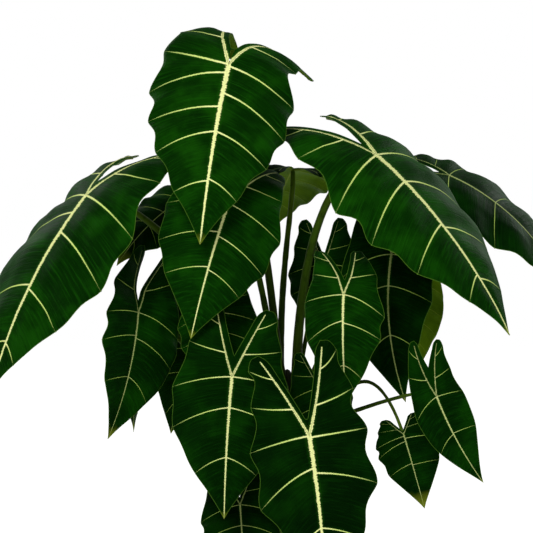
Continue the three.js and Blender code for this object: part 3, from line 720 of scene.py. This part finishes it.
def blade_finish():
    """Dark velvet above, olive below, with pale ribs; the upper side has painted highlights, and painted
    shade on the blades set low or back.
    """
    made, tree, shader = material("blade_velvet")
    masks = node(tree, "ShaderNodeGroup", _node_tree=RIB_MASKS, Feather=1.0, Margin_Width=0.9).outputs
    lay, weft = attribute(tree, "lay", "Vector"), attribute(tree, "weft", "Vector")
    # tone: each blade's own green, and painted shade on the blades set low or back
    tone = attribute(tree, "tone")
    clouds = noise(tree, lay, 0.022, 3.0)
    streaks = stretched(tree, weft, (26.0, 1.5, 1.0), 4.0, 0.65)
    pile = noise(tree, lay, 1.6, 2.0)
    share = node(tree, "ShaderNodeSeparateXYZ", Vector=weft).outputs["Y"]

    cream = blend(tree, ramp(tree, pile, 0.3, 0.8), srgb(250, 251, 184), srgb(226, 236, 126))
    pale = layered(
        tree, srgb(76, 104, 28),
        # ribs paler with pallor, which is lower on the shaded blades and so partly painted shade
        (attribute(tree, "pallor"), cream),
        (ramp(tree, share, 0.06, 0.4, 0.0, 0.55), srgb(176, 212, 78)),
    )
    # how strongly the painted highlights show: more on the brighter blades
    painted_highlight_share = ramp(tree, tone, 0.0, 1.0, 0.3, 1.0)
    upper = layered(
        tree, srgb(2, 17, 2),
        # greener with tone, which is partly painted shade
        (tone, srgb(6, 39, 2)),
        # painted highlights: bright clouds and streaks between the veins; the streaks also follow the blade's
        # fine striations
        (times(tree, ramp(tree, clouds, 0.42, 0.7, 0.0, 0.8), painted_highlight_share), srgb(16, 66, 4)),
        (times(tree, ramp(tree, streaks, 0.48, 0.72, 0.0, 0.6), painted_highlight_share), srgb(20, 76, 8)),
        # dark lines between the streaks: the striations, deepened by painted shade
        (ramp(tree, streaks, 0.28, 0.48, 0.5, 0.0), srgb(1, 16, 1)),
        (times(tree, masks["Halo"], 0.3), srgb(34, 92, 16)),
        (times(tree, masks["Margin"], 0.8), srgb(74, 112, 34)),
        (times(tree, masks["Ribs"], ramp(tree, share, 0.45, 1.0, 1.0, 0.45)), pale),
        (times(tree, attribute(tree, "dry"), ramp(tree, pile, 0.25, 0.6, 0.5, 1.0)), srgb(116, 128, 30)),
    )
    lower = layered(
        tree, srgb(54, 80, 9),
        (ramp(tree, clouds, 0.25, 0.75), srgb(92, 124, 16)),
        (ramp(tree, streaks, 0.45, 0.8, 0.0, 0.6), srgb(90, 124, 30)),
        (masks["Ribs"], srgb(126, 144, 48)),
    )
    relief = plus(tree, times(tree, streaks, 0.8), times(tree, pile, 0.15))
    dress(
        tree, shader,
        Base_Color=blend(tree, attribute(tree, "under"), upper, lower),
        Roughness=ramp(tree, streaks, 0.2, 0.8, 0.4, 0.6),
        Specular_IOR_Level=0.04,
        Specular_Tint=srgb(90, 220, 60),
        Sheen_Weight=0.08,
        Sheen_Roughness=0.45,
        Sheen_Tint=srgb(40, 180, 16),
        Normal=bumps(tree, relief, 0.8, 0.0012),
    )
    return made


BLADE = blade_finish()

# %% Make the blades


def add_piece(piece, slot, *nodes):
    """Links a finished piece, lets it ride, and hides the frame's parts that it stands for."""
    if not piece.users_collection:
        bpy.context.scene.collection.objects.link(piece)
    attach(piece, "root")
    if nodes:
        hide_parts(*nodes)
    return piece


blade_faces = 0
for number, leaf in enumerate(LEAVES):
    blade = blade_piece(leaf, number)
    blade.data.materials.append(BLADE)
    add_piece(blade, "blade", f"leaf_{leaf['name']}")
    blade_faces += len(blade.data.polygons)
print(len(LEAVES), "blades with", blade_faces, "faces")

# %% [markdown]
# ## Stalks
#
# A stalk is a path with a thickness, so Geometry Nodes make it: resample the path, give it a
# radius that narrows from foot to joint, sweep a circle along it, and roughen it a little.
# One tree serves all the stalks, with the two radii as its inputs.

# %% The stalk tree


def sweep_tree():
    tree, start, end = group(
        "stalk_sweep", "GeometryNodeTree",
        [
            ("Path", GEOMETRY, None), ("Foot Radius", FLOAT, 0.006), ("Top Radius", FLOAT, 0.003),
            ("Flare", FLOAT, 0.5), ("Seed", FLOAT, 0.0), ("Finish", MATERIAL, None),
        ],
        [("Stalk", GEOMETRY)],
    )
    path = node(tree, "GeometryNodeResampleCurve", Curve=start["Path"], Count=72)
    share = node(tree, "GeometryNodeSplineParameter").outputs["Factor"]
    radius = ramp(tree, share, 0.0, 1.0, start["Foot Radius"], start["Top Radius"], "LINEAR")
    flare = ramp(tree, share, 0.0, 0.16, start["Flare"], 0.0)
    swollen = maths(tree, "MULTIPLY_ADD", radius, flare, radius)
    profile = node(tree, "GeometryNodeCurvePrimitiveCircle", Resolution=20, Radius=1.0)
    store = dict(_data_type="FLOAT", _domain="POINT", Name="along", i3=share)
    named = node(tree, "GeometryNodeStoreNamedAttribute", Geometry=path, **store)
    tube = node(tree, "GeometryNodeCurveToMesh", Curve=named, i1=profile, Scale=swollen, Fill_Caps=True)
    where = node(tree, "GeometryNodeInputPosition")
    push = node(tree, "ShaderNodeVectorMath", _operation="ADD", i0=where, i1=start["Seed"])
    amount = maths(tree, "MULTIPLY_ADD", noise(tree, push, 55.0, 2.0), 0.0012, -0.0006)
    normal = node(tree, "GeometryNodeInputNormal")
    offset = node(tree, "ShaderNodeVectorMath", _operation="SCALE", i0=normal, Scale=amount)
    moved = node(tree, "GeometryNodeSetPosition", Geometry=tube, Offset=offset)
    smooth = node(tree, "GeometryNodeSetShadeSmooth", Geometry=moved)
    real = node(tree, "GeometryNodeRealizeInstances", Geometry=smooth)
    dress(tree, end, Stalk=node(tree, "GeometryNodeSetMaterial", Geometry=real, Material=start["Finish"]))
    return tree


SWEEP = sweep_tree()


def grown(name, source, tree, **inputs):
    """Runs a Geometry Nodes tree on a source object and keeps the result as a plain mesh."""
    bpy.context.scene.collection.objects.link(source)
    modifier = source.modifiers.new("grow", "NODES")
    modifier.node_group = tree
    for item in tree.interface.items_tree:
        if item.item_type == "SOCKET" and item.in_out == "INPUT":
            key = item.name.lower().replace(" ", "_")
            if key in inputs:
                modifier[item.identifier] = inputs[key]
    bpy.context.view_layer.update()
    evaluated = source.evaluated_get(bpy.context.evaluated_depsgraph_get())
    mesh = bpy.data.meshes.new_from_object(evaluated)
    source.modifiers.remove(modifier)
    bpy.data.objects.remove(source)
    mesh.name = name
    return bpy.data.objects.new(name, mesh)


# %% The stalk's finish


def stalk_finish():
    """Olive green, darker and blotched at the foot, with fine lines along it."""
    made, tree, shader = material("stalk_green")
    along, spot = attribute(tree, "along"), own_place(tree)
    blotch = noise(tree, spot, 60.0, 4.0, 0.6)
    lines = stretched(tree, spot, (900.0, 900.0, 22.0), 2.0)
    base = layered(
        tree, srgb(26, 34, 6),
        (ramp(tree, along, 0.0, 0.55), srgb(44, 66, 11)),
        (ramp(tree, along, 0.6, 1.0, 0.0, 0.75), srgb(84, 108, 26)),
        (ramp(tree, blotch, 0.5, 0.7, 0.0, 0.6), srgb(12, 24, 4)),
        (ramp(tree, lines, 0.55, 0.8, 0.0, 0.35), srgb(72, 92, 22)),
    )
    dress(
        tree, shader,
        Base_Color=base,
        Roughness=ramp(tree, blotch, 0.2, 0.8, 0.34, 0.52),
        Specular_IOR_Level=0.13,
        Specular_Tint=srgb(170, 230, 90),
        Normal=bumps(tree, plus(tree, lines, blotch), 0.4, 0.0004),
    )
    return made


STALK = stalk_finish()

# %% Make the stalks
STEM_HEIGHT, STEM_FOOT, STEM_TOP = 355.0, 21.0, 7.0


def stem_radius(height):
    return mix(STEM_FOOT, STEM_TOP, np.clip(height / STEM_HEIGHT, 0, 1) ** 0.8)


def stalk_path(leaf, count=48):
    """Points from the foot on the stem to just under the joint."""
    angle, height, radius, climb, turn_out = leaf["stalk"]
    form = blade_form(leaf)
    angle = math.radians(angle)
    outward = np.array((math.cos(angle), math.sin(angle), 0))
    foot = outward * (stem_radius(height) + radius * 0.7) + (0, 0, height)
    arrival = form["up"] * 0.8 + form["along"] * 0.6
    end = form["joint"] - arrival * (0.6 * radius + 0.4) / 0.8
    joint = form["joint"]
    lean = leaf["lean"] * math.hypot(joint[0], joint[1]) / max(joint[2] - height, climb)
    leave = outward * lean * climb + (0, 0, climb)
    a, b, c, d = foot, foot + leave, end - arrival * turn_out, end
    t = np.linspace(0, 1, count)[:, None]
    return (1 - t) ** 3 * a + 3 * (1 - t) ** 2 * t * b + 3 * (1 - t) * t**2 * c + t**3 * d


for number, leaf in enumerate(LEAVES):
    path = bpy.data.curves.new("path", "CURVE")
    path.dimensions = "3D"
    spline = path.splines.new("POLY")
    places = (stalk_path(leaf) + (0, 0, SOIL_LEVEL)) * MM
    spline.points.add(len(places) - 1)
    spline.points.foreach_set("co", np.c_[places, np.ones(len(places))].ravel())
    radius = leaf["stalk"][2] * MM
    stalk = grown(
        f"petiole_{leaf['name']}", bpy.data.objects.new("path", path), SWEEP,
        foot_radius=radius, top_radius=0.6 * radius, flare=0.45, seed=number * 1.7, finish=STALK,
    )
    add_piece(stalk, "stalk", f"stalk_{leaf['name']}")
print("stalks:", len(LEAVES))

# %% [markdown]
# ## Stem
#
# The stem is a short trunk of old leaf bases: a swollen foot, ringed by scars, wrapped by a
# dry sheath under each stalk. The trunk is a turned shape with ring scars pushed into it, and
# each sheath is a thin bent plate that narrows up into its stalk.

# %% Turned shapes


def kept(name, made):
    """Turns mesh code's result into an object, which isn't in the scene yet."""
    data = bpy.data.meshes.new(name)
    made.to_mesh(data)
    made.free()
    return bpy.data.objects.new(name, data)


def lathe(name, profile, sides):
    """A turned solid about Z from (radius, height) points that start and end on the axis."""
    mesh = bmesh.new()
    rings = []
    for r, z in profile:
        turns = np.linspace(0, 2 * np.pi, sides, endpoint=False) if r >= 1e-6 else ()
        ring = [(r * MM * math.cos(a), r * MM * math.sin(a), z * MM) for a in turns] or [(0, 0, z * MM)]
        rings.append([mesh.verts.new(spot) for spot in ring])
    for low, high in zip(rings[:-1], rings[1:]):
        for i in range(sides):
            j = (i + 1) % sides
            corners = [low[i % len(low)], low[j % len(low)], high[j % len(high)], high[i % len(high)]]
            corners = list(dict.fromkeys(corners))
            if len(corners) > 2:
                mesh.faces.new(corners)
    bmesh.ops.recalc_face_normals(mesh, faces=mesh.faces)
    turned = kept(name, mesh)
    turned.data.shade_smooth()
    return turned


# %% The stem's finish


def stem_finish():
    """Fibrous bark, brown low down and green above, dry in places."""
    made, tree, shader = material("stem_bark")
    spot = own_place(tree)
    fibre = stretched(tree, spot, (420.0, 420.0, 14.0), 4.0, 0.6)
    patch = noise(tree, spot, 45.0, 4.0)
    height = node(tree, "ShaderNodeSeparateXYZ", Vector=spot).outputs["Z"]
    dry = times(tree, ramp(tree, fibre, 0.45, 0.75, 0.0, 0.8), ramp(tree, height, 0.2, 0.42, 1.0, 0.3))
    base = layered(
        tree, srgb(58, 44, 24),
        (ramp(tree, height, 0.2, 0.4), srgb(20, 32, 6)),
        (dry, srgb(112, 90, 52)),
        (ramp(tree, patch, 0.5, 0.75, 0.0, 0.7), srgb(24, 20, 10)),
    )
    relief = bumps(tree, plus(tree, fibre, patch), 0.8, 0.0012)
    dress(tree, shader, Base_Color=base, Roughness=0.75, Specular_IOR_Level=0.25, Normal=relief)
    return made


STEM = stem_finish()

# %% Make the stem and its sheaths


def stem_profile():
    """Radii up the stem, with a shallow scar every 14 mm or so."""
    profile = [(0, -60), (11, -60), (19, -30)]
    for height in np.linspace(-10, STEM_HEIGHT, 150):
        scar = 0.9 * np.exp(-(((height % 14.5) - 7.2) ** 2) / 1.6)
        profile.append((stem_radius(max(height, 0)) - scar, height))
    profile.append((0.55 * STEM_TOP, STEM_HEIGHT + 4))
    profile.append((0, STEM_HEIGHT + 6))
    return [(r, z + SOIL_LEVEL) for r, z in profile]


stem = lathe("trunk", stem_profile(), 40)
stem.data.materials.append(STEM)
add_piece(stem, "stem", "stem")


def sheath_piece(leaf, rows=22, columns=18, thickness=0.9):
    """A thin plate that wraps the stem below a stalk's foot and narrows up into the stalk."""
    angle, height, radius, _, _ = leaf["stalk"]
    angle = math.radians(angle)
    path = stalk_path(leaf, 200)
    bottom = max(height - (26 + 5 * radius), 2)
    top = height + 3.5 * radius
    places, outward = [], []
    for t in np.linspace(0, 1, rows):
        z = mix(bottom, top, t)
        half = math.radians(mix(105, 78, t)) * (1 - 0.25 * t**6)
        hug = stem_radius(z) + 1.4 + 1.2 * math.sin(math.pi * min(t * 1.2, 1))
        on_path = path[np.argmin(np.abs(path[:, 2] - z))] if z > height else None
        for s in np.linspace(-1, 1, columns):
            a = angle + s * half
            spot = np.array((hug * math.cos(a), hug * math.sin(a), z))
            if on_path is not None:
                grip = radius * 1.18
                local = angle + s * math.radians(120)
                near = on_path + grip * np.array((math.cos(local), math.sin(local), 0))
                blend_in = min(1, (z - height) / (2.2 * radius))
                spot = mix(spot, near, blend_in)
            places.append(spot)
            outward.append((math.cos(a), math.sin(a), 0))
    places, outward = np.array(places), np.array(outward)
    verts = np.concatenate([places + outward * thickness / 2, places - outward * thickness / 2])
    faces, count = [], rows * columns
    for i in range(rows - 1):
        for j in range(columns - 1):
            a = i * columns + j
            quad = [a, a + 1, a + columns + 1, a + columns]
            faces.append(quad)
            faces.append([k + count for k in reversed(quad)])
    rim = [*range(columns)] + [i * columns + columns - 1 for i in range(1, rows)]
    rim += [(rows - 1) * columns + j for j in range(columns - 2, -1, -1)]
    rim += [i * columns for i in range(rows - 2, 0, -1)]
    for a, b in zip(rim, rim[1:] + rim[:1]):
        faces.append([b, a, a + count, b + count])
    return verts, faces


sheath_verts, sheath_faces = [], []
for leaf in LEAVES:
    verts, faces = sheath_piece(leaf)
    base = sum(len(v) for v in sheath_verts)
    sheath_verts.append(verts)
    sheath_faces += [[i + base for i in face] for face in faces]
sheath_mesh = bpy.data.meshes.new("leaf_sheaths")
sheath_mesh.from_pydata(((np.concatenate(sheath_verts) + (0, 0, SOIL_LEVEL)) * MM).tolist(), [], sheath_faces)
sheath_mesh.validate()
sheath_mesh.shade_smooth()
sheaths = bpy.data.objects.new("leaf_sheaths", sheath_mesh)
sheath_mesh.materials.append(STEM)
add_piece(sheaths, "stem")

# %% [markdown]
# ## Pot
#
# The pot is thrown clay: one turned wall with a rim band and rounded edges, and four drain
# holes. Its finish is matt, with fine turning lines, darker and paler patches, and the pale
# bloom that watering leaves low on the wall and under the band.

# %% The pot's wall
POT_HEIGHT, BAND, WALL, FLOOR = 200.0, 36.0, 7.0, 10.0
POT_FOOT, POT_BODY, POT_RIM, DRAFT = 88.0, 111.0, 122.0, 3.0  # radii, and how much the band leans out
DRAINS, DRAIN_RADIUS, DRAIN_RING = 4, 6, 46
BAND_FOOT = POT_HEIGHT - BAND


def inner_radius(z):
    foot = POT_FOOT - WALL
    top = POT_BODY - WALL + (POT_BODY - POT_FOOT) * (BAND / BAND_FOOT)
    return mix(foot, top, z / POT_HEIGHT)


def rounded(corners, radius=2.4, points=5):
    """A profile with its corners rounded."""
    result = [corners[0]]
    for before, corner, after in zip(corners[:-2], corners[1:-1], corners[2:]):
        before, corner, after = (np.array(p, float) for p in (before, corner, after))
        back = min(radius, 0.45 * np.linalg.norm(before - corner), 0.45 * np.linalg.norm(after - corner))
        a, b = corner + unit(before - corner) * back, corner + unit(after - corner) * back
        for t in np.linspace(0, 1, points):
            result.append(tuple(mix(mix(a, corner, t), mix(corner, b, t), t)))
    result.append(corners[-1])
    return result


def with_rows(profile, spacing=6.0):
    """The same profile with extra points along its long stretches."""
    result = [profile[0]]
    for a, b in zip(profile[:-1], profile[1:]):
        steps = max(1, int(math.hypot(b[0] - a[0], b[1] - a[1]) / spacing))
        result += [tuple(mix(np.array(a, float), np.array(b, float), i / steps)) for i in range(1, steps + 1)]
    return result


pot_corners = [
    (0, 0), (POT_FOOT, 0), (POT_BODY, BAND_FOOT), (POT_RIM - DRAFT, BAND_FOOT), (POT_RIM, POT_HEIGHT),
    (inner_radius(POT_HEIGHT), POT_HEIGHT), (inner_radius(FLOOR), FLOOR), (0, FLOOR),
]
pot = lathe("clay_pot", with_rows(rounded(pot_corners)), 144)
cutters = bmesh.new()
for i in range(DRAINS):
    a = i * math.pi / 2 + math.pi / 4
    radii = dict(radius1=DRAIN_RADIUS * MM, radius2=DRAIN_RADIUS * MM)
    made = bmesh.ops.create_cone(cutters, cap_ends=True, segments=32, depth=40 * MM, **radii)
    spot = (DRAIN_RING * MM * math.cos(a), DRAIN_RING * MM * math.sin(a), 5 * MM)
    bmesh.ops.translate(cutters, verts=made["verts"], vec=spot)
cutter = kept("drain_cutters", cutters)
for shape in (pot, cutter):
    bpy.context.scene.collection.objects.link(shape)
cut = pot.modifiers.new("drains", "BOOLEAN")
cut.object, cut.operation, cut.solver = cutter, "DIFFERENCE", "EXACT"
bpy.context.view_layer.update()
drained = bpy.data.meshes.new_from_object(pot.evaluated_get(bpy.context.evaluated_depsgraph_get()))
pot.modifiers.clear()
pot.data = drained
bpy.data.objects.remove(cutter)
drained.set_sharp_from_angle(angle=math.radians(40))

# %% The clay's finish


def clay_finish():
    """Matt terracotta with turning lines, and a pale bloom at the foot and under the band."""
    made, tree, shader = material("clay_terracotta")
    spot = own_place(tree)
    height = node(tree, "ShaderNodeSeparateXYZ", Vector=spot).outputs["Z"]
    patch = noise(tree, spot, 11.0, 5.0, 0.6)
    bloom = noise(tree, spot, 26.0, 6.0, 0.7)
    grit = noise(tree, spot, 700.0, 2.0)
    lines = stretched(tree, spot, (3.0, 3.0, 520.0), 3.0)
    low = ramp(tree, height, 0.0, 0.11, 1.0, 0.0)
    under_band = times(tree, ramp(tree, height, 0.12, 0.165), ramp(tree, height, 0.165, 0.175, 1.0, 0.0))
    where = plus(tree, times(tree, low, 0.55), times(tree, under_band, 0.35))
    base = layered(
        tree, srgb(176, 98, 62),
        (ramp(tree, patch, 0.3, 0.7), srgb(196, 118, 78)),
        (ramp(tree, grit, 0.6, 0.8, 0.0, 0.5), srgb(140, 74, 48)),
        (times(tree, ramp(tree, bloom, 0.42, 0.7), where, clamp=True), srgb(222, 196, 172)),
    )
    relief = bumps(tree, plus(tree, times(tree, lines, 0.7), times(tree, grit, 0.4)), 0.5, 0.0005)
    dress(tree, shader, Base_Color=base, Roughness=0.86, Specular_IOR_Level=0.25, Normal=relief)
    return made


pot.data.materials.append(clay_finish())
add_piece(pot, "clay", "pot")

# %% [markdown]
# ## Potting mix
#
# The mix is a dark crumbly bed with bark chips, crumbs of peat and white perlite on it. The
# bed is a turned shape with an uneven top, and one scatter tree, with its own sizes and seed
# each time, spreads the three kinds of grain over it.

# %% The bed
BED_RADIUS, BED_DIP = 104.0, 5  # the surface lies this much lower at the wall
bed_rows = [
    (0, FLOOR + 0.3), (inner_radius(FLOOR) - 1, FLOOR + 0.3),
    (inner_radius(SOIL_LEVEL - BED_DIP) - 0.4, SOIL_LEVEL - BED_DIP - 1),
]
outer_rows = np.linspace(BED_RADIUS - 0.5, 3, 60)
bed_rows += [(r, SOIL_LEVEL - BED_DIP * (r / BED_RADIUS) ** 2) for r in outer_rows]
bed_rows += [(0, SOIL_LEVEL)]
bed = lathe("potting_bed", bed_rows, 160)
for vertex in bed.data.vertices:
    x, y, z = vertex.co / MM
    if z > SOIL_LEVEL - 5.9:
        swell = ripples(np.array([x / 60]), np.array([y / 60]), 5)[0] * 1.6
        crumble = ripples(np.array([x / 9]), np.array([y / 9]), 6)[0] * 1.1
        vertex.co.z += (swell + crumble - 1.5) * MM

# %% The bed's finish


def mix_finish(name, dark, light, spot_scale, strength=0.9):
    """A crumbly matt finish between two colours, which also varies from grain to grain."""
    made, tree, shader = material(name)
    crumbs = noise(tree, own_place(tree), spot_scale, 6.0, 0.7)
    shade = plus(tree, times(tree, crumbs, 0.6), times(tree, attribute(tree, "grain"), 0.4))
    base = blend(tree, ramp(tree, shade, 0.25, 0.7), dark, light)
    relief = bumps(tree, crumbs, strength, 0.0015)
    dress(tree, shader, Base_Color=base, Roughness=0.9, Specular_IOR_Level=0.2, Normal=relief)
    return made


bed.data.materials.append(mix_finish("peat", srgb(28, 20, 14), srgb(66, 48, 34), 320.0))
add_piece(bed, "soil", "soil")

# %% The scatter tree


def scatter_tree():
    tree, start, end = group(
        "grain_scatter", "GeometryNodeTree",
        [
            ("Bed", GEOMETRY, None), ("Density", FLOAT, 20000.0), ("Spacing", FLOAT, 0.002),
            ("Size", FLOAT, 0.003), ("Spread", FLOAT, 0.5), ("Shape", VECTOR, (1, 0.7, 0.5)),
            ("Seed", WHOLE, 1), ("Finish", MATERIAL, None),
        ],
        [("Grains", GEOMETRY)],
    )
    seed, spread = start["Seed"], start["Spread"]
    spots = node(
        tree, "GeometryNodeDistributePointsOnFaces", _distribute_method="POISSON",
        Mesh=start["Bed"], Distance_Min=start["Spacing"], Density_Max=start["Density"], Seed=seed,
    )
    lump = node(tree, "GeometryNodeMeshIcoSphere", Radius=1.0, Subdivisions=2)
    swell = node(tree, "ShaderNodeTexNoise", Scale=1.3, Detail=1.0).outputs["Color"]
    centred = node(tree, "ShaderNodeVectorMath", _operation="SUBTRACT", i0=swell, i1=(0.5, 0.5, 0.5))
    rough = node(tree, "ShaderNodeVectorMath", _operation="SCALE", i0=centred, Scale=1.5)
    lumpy = node(tree, "GeometryNodeSetPosition", Geometry=lump, Offset=rough)
    shaped = node(tree, "GeometryNodeTransform", Geometry=lumpy, Scale=start["Shape"])
    tilts = dict(i0=(-0.6, -0.6, 0.0), i1=(0.6, 0.6, 6.28))
    turn = node(tree, "FunctionNodeRandomValue", _data_type="FLOAT_VECTOR", Seed=seed, **tilts)
    least, most = maths(tree, "SUBTRACT", 1.0, spread), plus(tree, 1.0, spread)
    share = node(tree, "FunctionNodeRandomValue", _data_type="FLOAT", i2=least, i3=most, Seed=seed).outputs[1]
    grains = node(
        tree, "GeometryNodeInstanceOnPoints", Points=spots.outputs["Points"], Instance=shaped,
        Rotation=turn, Scale=times(tree, share, start["Size"]),
    )
    tone = node(tree, "FunctionNodeRandomValue", _data_type="FLOAT", i2=0.0, i3=1.0, Seed=7).outputs[1]
    store = dict(_data_type="FLOAT", _domain="INSTANCE", Name="grain", i3=tone)
    toned = node(tree, "GeometryNodeStoreNamedAttribute", Geometry=grains, **store)
    real = node(tree, "GeometryNodeRealizeInstances", Geometry=toned)
    dress(tree, end, Grains=node(tree, "GeometryNodeSetMaterial", Geometry=real, Material=start["Finish"]))
    return tree


SCATTER = scatter_tree()


def scatter_ground():
    """The open ring of the bed, between the stem and the pot's wall."""
    ground = bmesh.new()
    ground.from_mesh(bed.data)

    def is_open(v):
        return 24 * MM < math.hypot(v.co.x, v.co.y) < 99 * MM and v.co.z >= (SOIL_LEVEL - 9) * MM

    hidden = [v for v in ground.verts if not is_open(v)]
    bmesh.ops.delete(ground, geom=hidden, context="VERTS")
    return kept("ground", ground)


# name, most grains a square metre, spacing and size in metres, how much sizes vary, shape, seed, colours
GRAINS = (
    ("bark_chips", 14000.0, 0.0055, 0.0048, 0.45, (1.25, 0.75, 0.32), 3, srgb(66, 38, 22), srgb(132, 84, 50)),
    ("peat_crumbs", 60000.0, 0.0026, 0.0019, 0.5, (1.0, 0.8, 0.7), 5, srgb(30, 20, 14), srgb(74, 54, 38)),
    ("perlite", 5200.0, 0.009, 0.0021, 0.4, (1.0, 0.9, 0.8), 9, srgb(204, 200, 190), srgb(238, 236, 230)),
)
for name, density, spacing, size, vary, shape, seed, dark, light in GRAINS:
    grains = grown(
        name, scatter_ground(), SCATTER,
        density=density, spacing=spacing, size=size, spread=vary, shape=shape, seed=seed,
        finish=mix_finish(f"{name}_finish", dark, light, 900.0, strength=0.6),
    )
    add_piece(grains, "soil")
    print(name, len(grains.data.polygons), "faces")

# %% [markdown]
# ## Floor, light and camera
#
# A pale floor that fades into an even white surround gives a clean studio look. One large
# soft light above and in front shows the ribs, a second fills the other side, and two behind
# the plant catch the blades' edges. The camera stands well back with a long lens, so that
# near and far leaves keep their sizes.

# %% The floor


def floor_finish():
    """Pale under the pot, fading into a white glow further out."""
    made, tree, shader = material("floor_pale")
    away = node(tree, "ShaderNodeVectorMath", _operation="LENGTH", i0=own_place(tree)).outputs["Value"]
    fade = ramp(tree, away, 0.6, 1.8)
    dress(
        tree, shader,
        Base_Color=blend(tree, fade, (0.86, 0.86, 0.86, 1), (0.3, 0.3, 0.3, 1)),
        Roughness=0.9,
        Specular_IOR_Level=0.1,
        Emission_Color=(1, 1, 1, 1),
        Emission_Strength=ramp(tree, away, 0.5, 1.8),
    )
    return made


disc = bmesh.new()
bmesh.ops.create_circle(disc, cap_ends=True, segments=96, radius=6.0)
floor = kept("floor", disc)
floor.data.materials.append(floor_finish())
bpy.context.scene.collection.objects.link(floor)

# %% The lights


def area_light(name, place, size, power):
    """A square soft light that looks at the plant: metres and watts."""
    light = bpy.data.lights.new(name, "AREA")
    light.shape, light.size, light.energy = "SQUARE", size, power
    made = bpy.data.objects.new(name, light)
    made.location = place
    made.rotation_euler = (LIGHT_AIM - Vector(place)).to_track_quat("-Z", "Y").to_euler()
    bpy.context.scene.collection.objects.link(made)


LIGHT_AIM = Vector((0, 0, 0.6))
area_light("key", (-0.9, -2.3, 2.6), 1.3, 62)
area_light("fill", (2.4, -1.6, 1.0), 1.6, 10)
area_light("rim_left", (-1.8, 1.6, 2.0), 1.2, 14)
area_light("rim_right", (1.8, 1.7, 1.8), 1.2, 14)

world = bpy.data.worlds.new("studio")
bpy.context.scene.world = world
world.use_nodes = True
sky = world.node_tree
sky.nodes.clear()
seen = node(sky, "ShaderNodeLightPath").outputs["Is Camera Ray"]
shade = blend(sky, seen, (0.2, 0.2, 0.2, 1), (1, 1, 1, 1))
background = node(sky, "ShaderNodeBackground", Color=shade, Strength=1.0)
node(sky, "ShaderNodeOutputWorld", Surface=background)

# %% The camera
CAMERA_AIM = Vector((-0.029, 0.0, 0.681))
CAMERA_DISTANCE = 2.6
CAMERA_RISE = math.radians(3)
VIEW_WIDTH = 0.746  # metres across the picture, at the plant
SENSOR = 36

camera_data = bpy.data.cameras.new("camera")
camera_data.sensor_width = SENSOR
camera_data.lens = SENSOR * CAMERA_DISTANCE / VIEW_WIDTH
camera_data.clip_end = 50
camera = bpy.data.objects.new("camera", camera_data)
back = Vector((0, -math.cos(CAMERA_RISE), math.sin(CAMERA_RISE)))
camera.location = CAMERA_AIM + back * CAMERA_DISTANCE
camera.rotation_euler = (-back).to_track_quat("-Z", "Y").to_euler()
bpy.context.scene.collection.objects.link(camera)
bpy.context.scene.camera = camera
bpy.context.scene.view_settings.view_transform = "Standard"
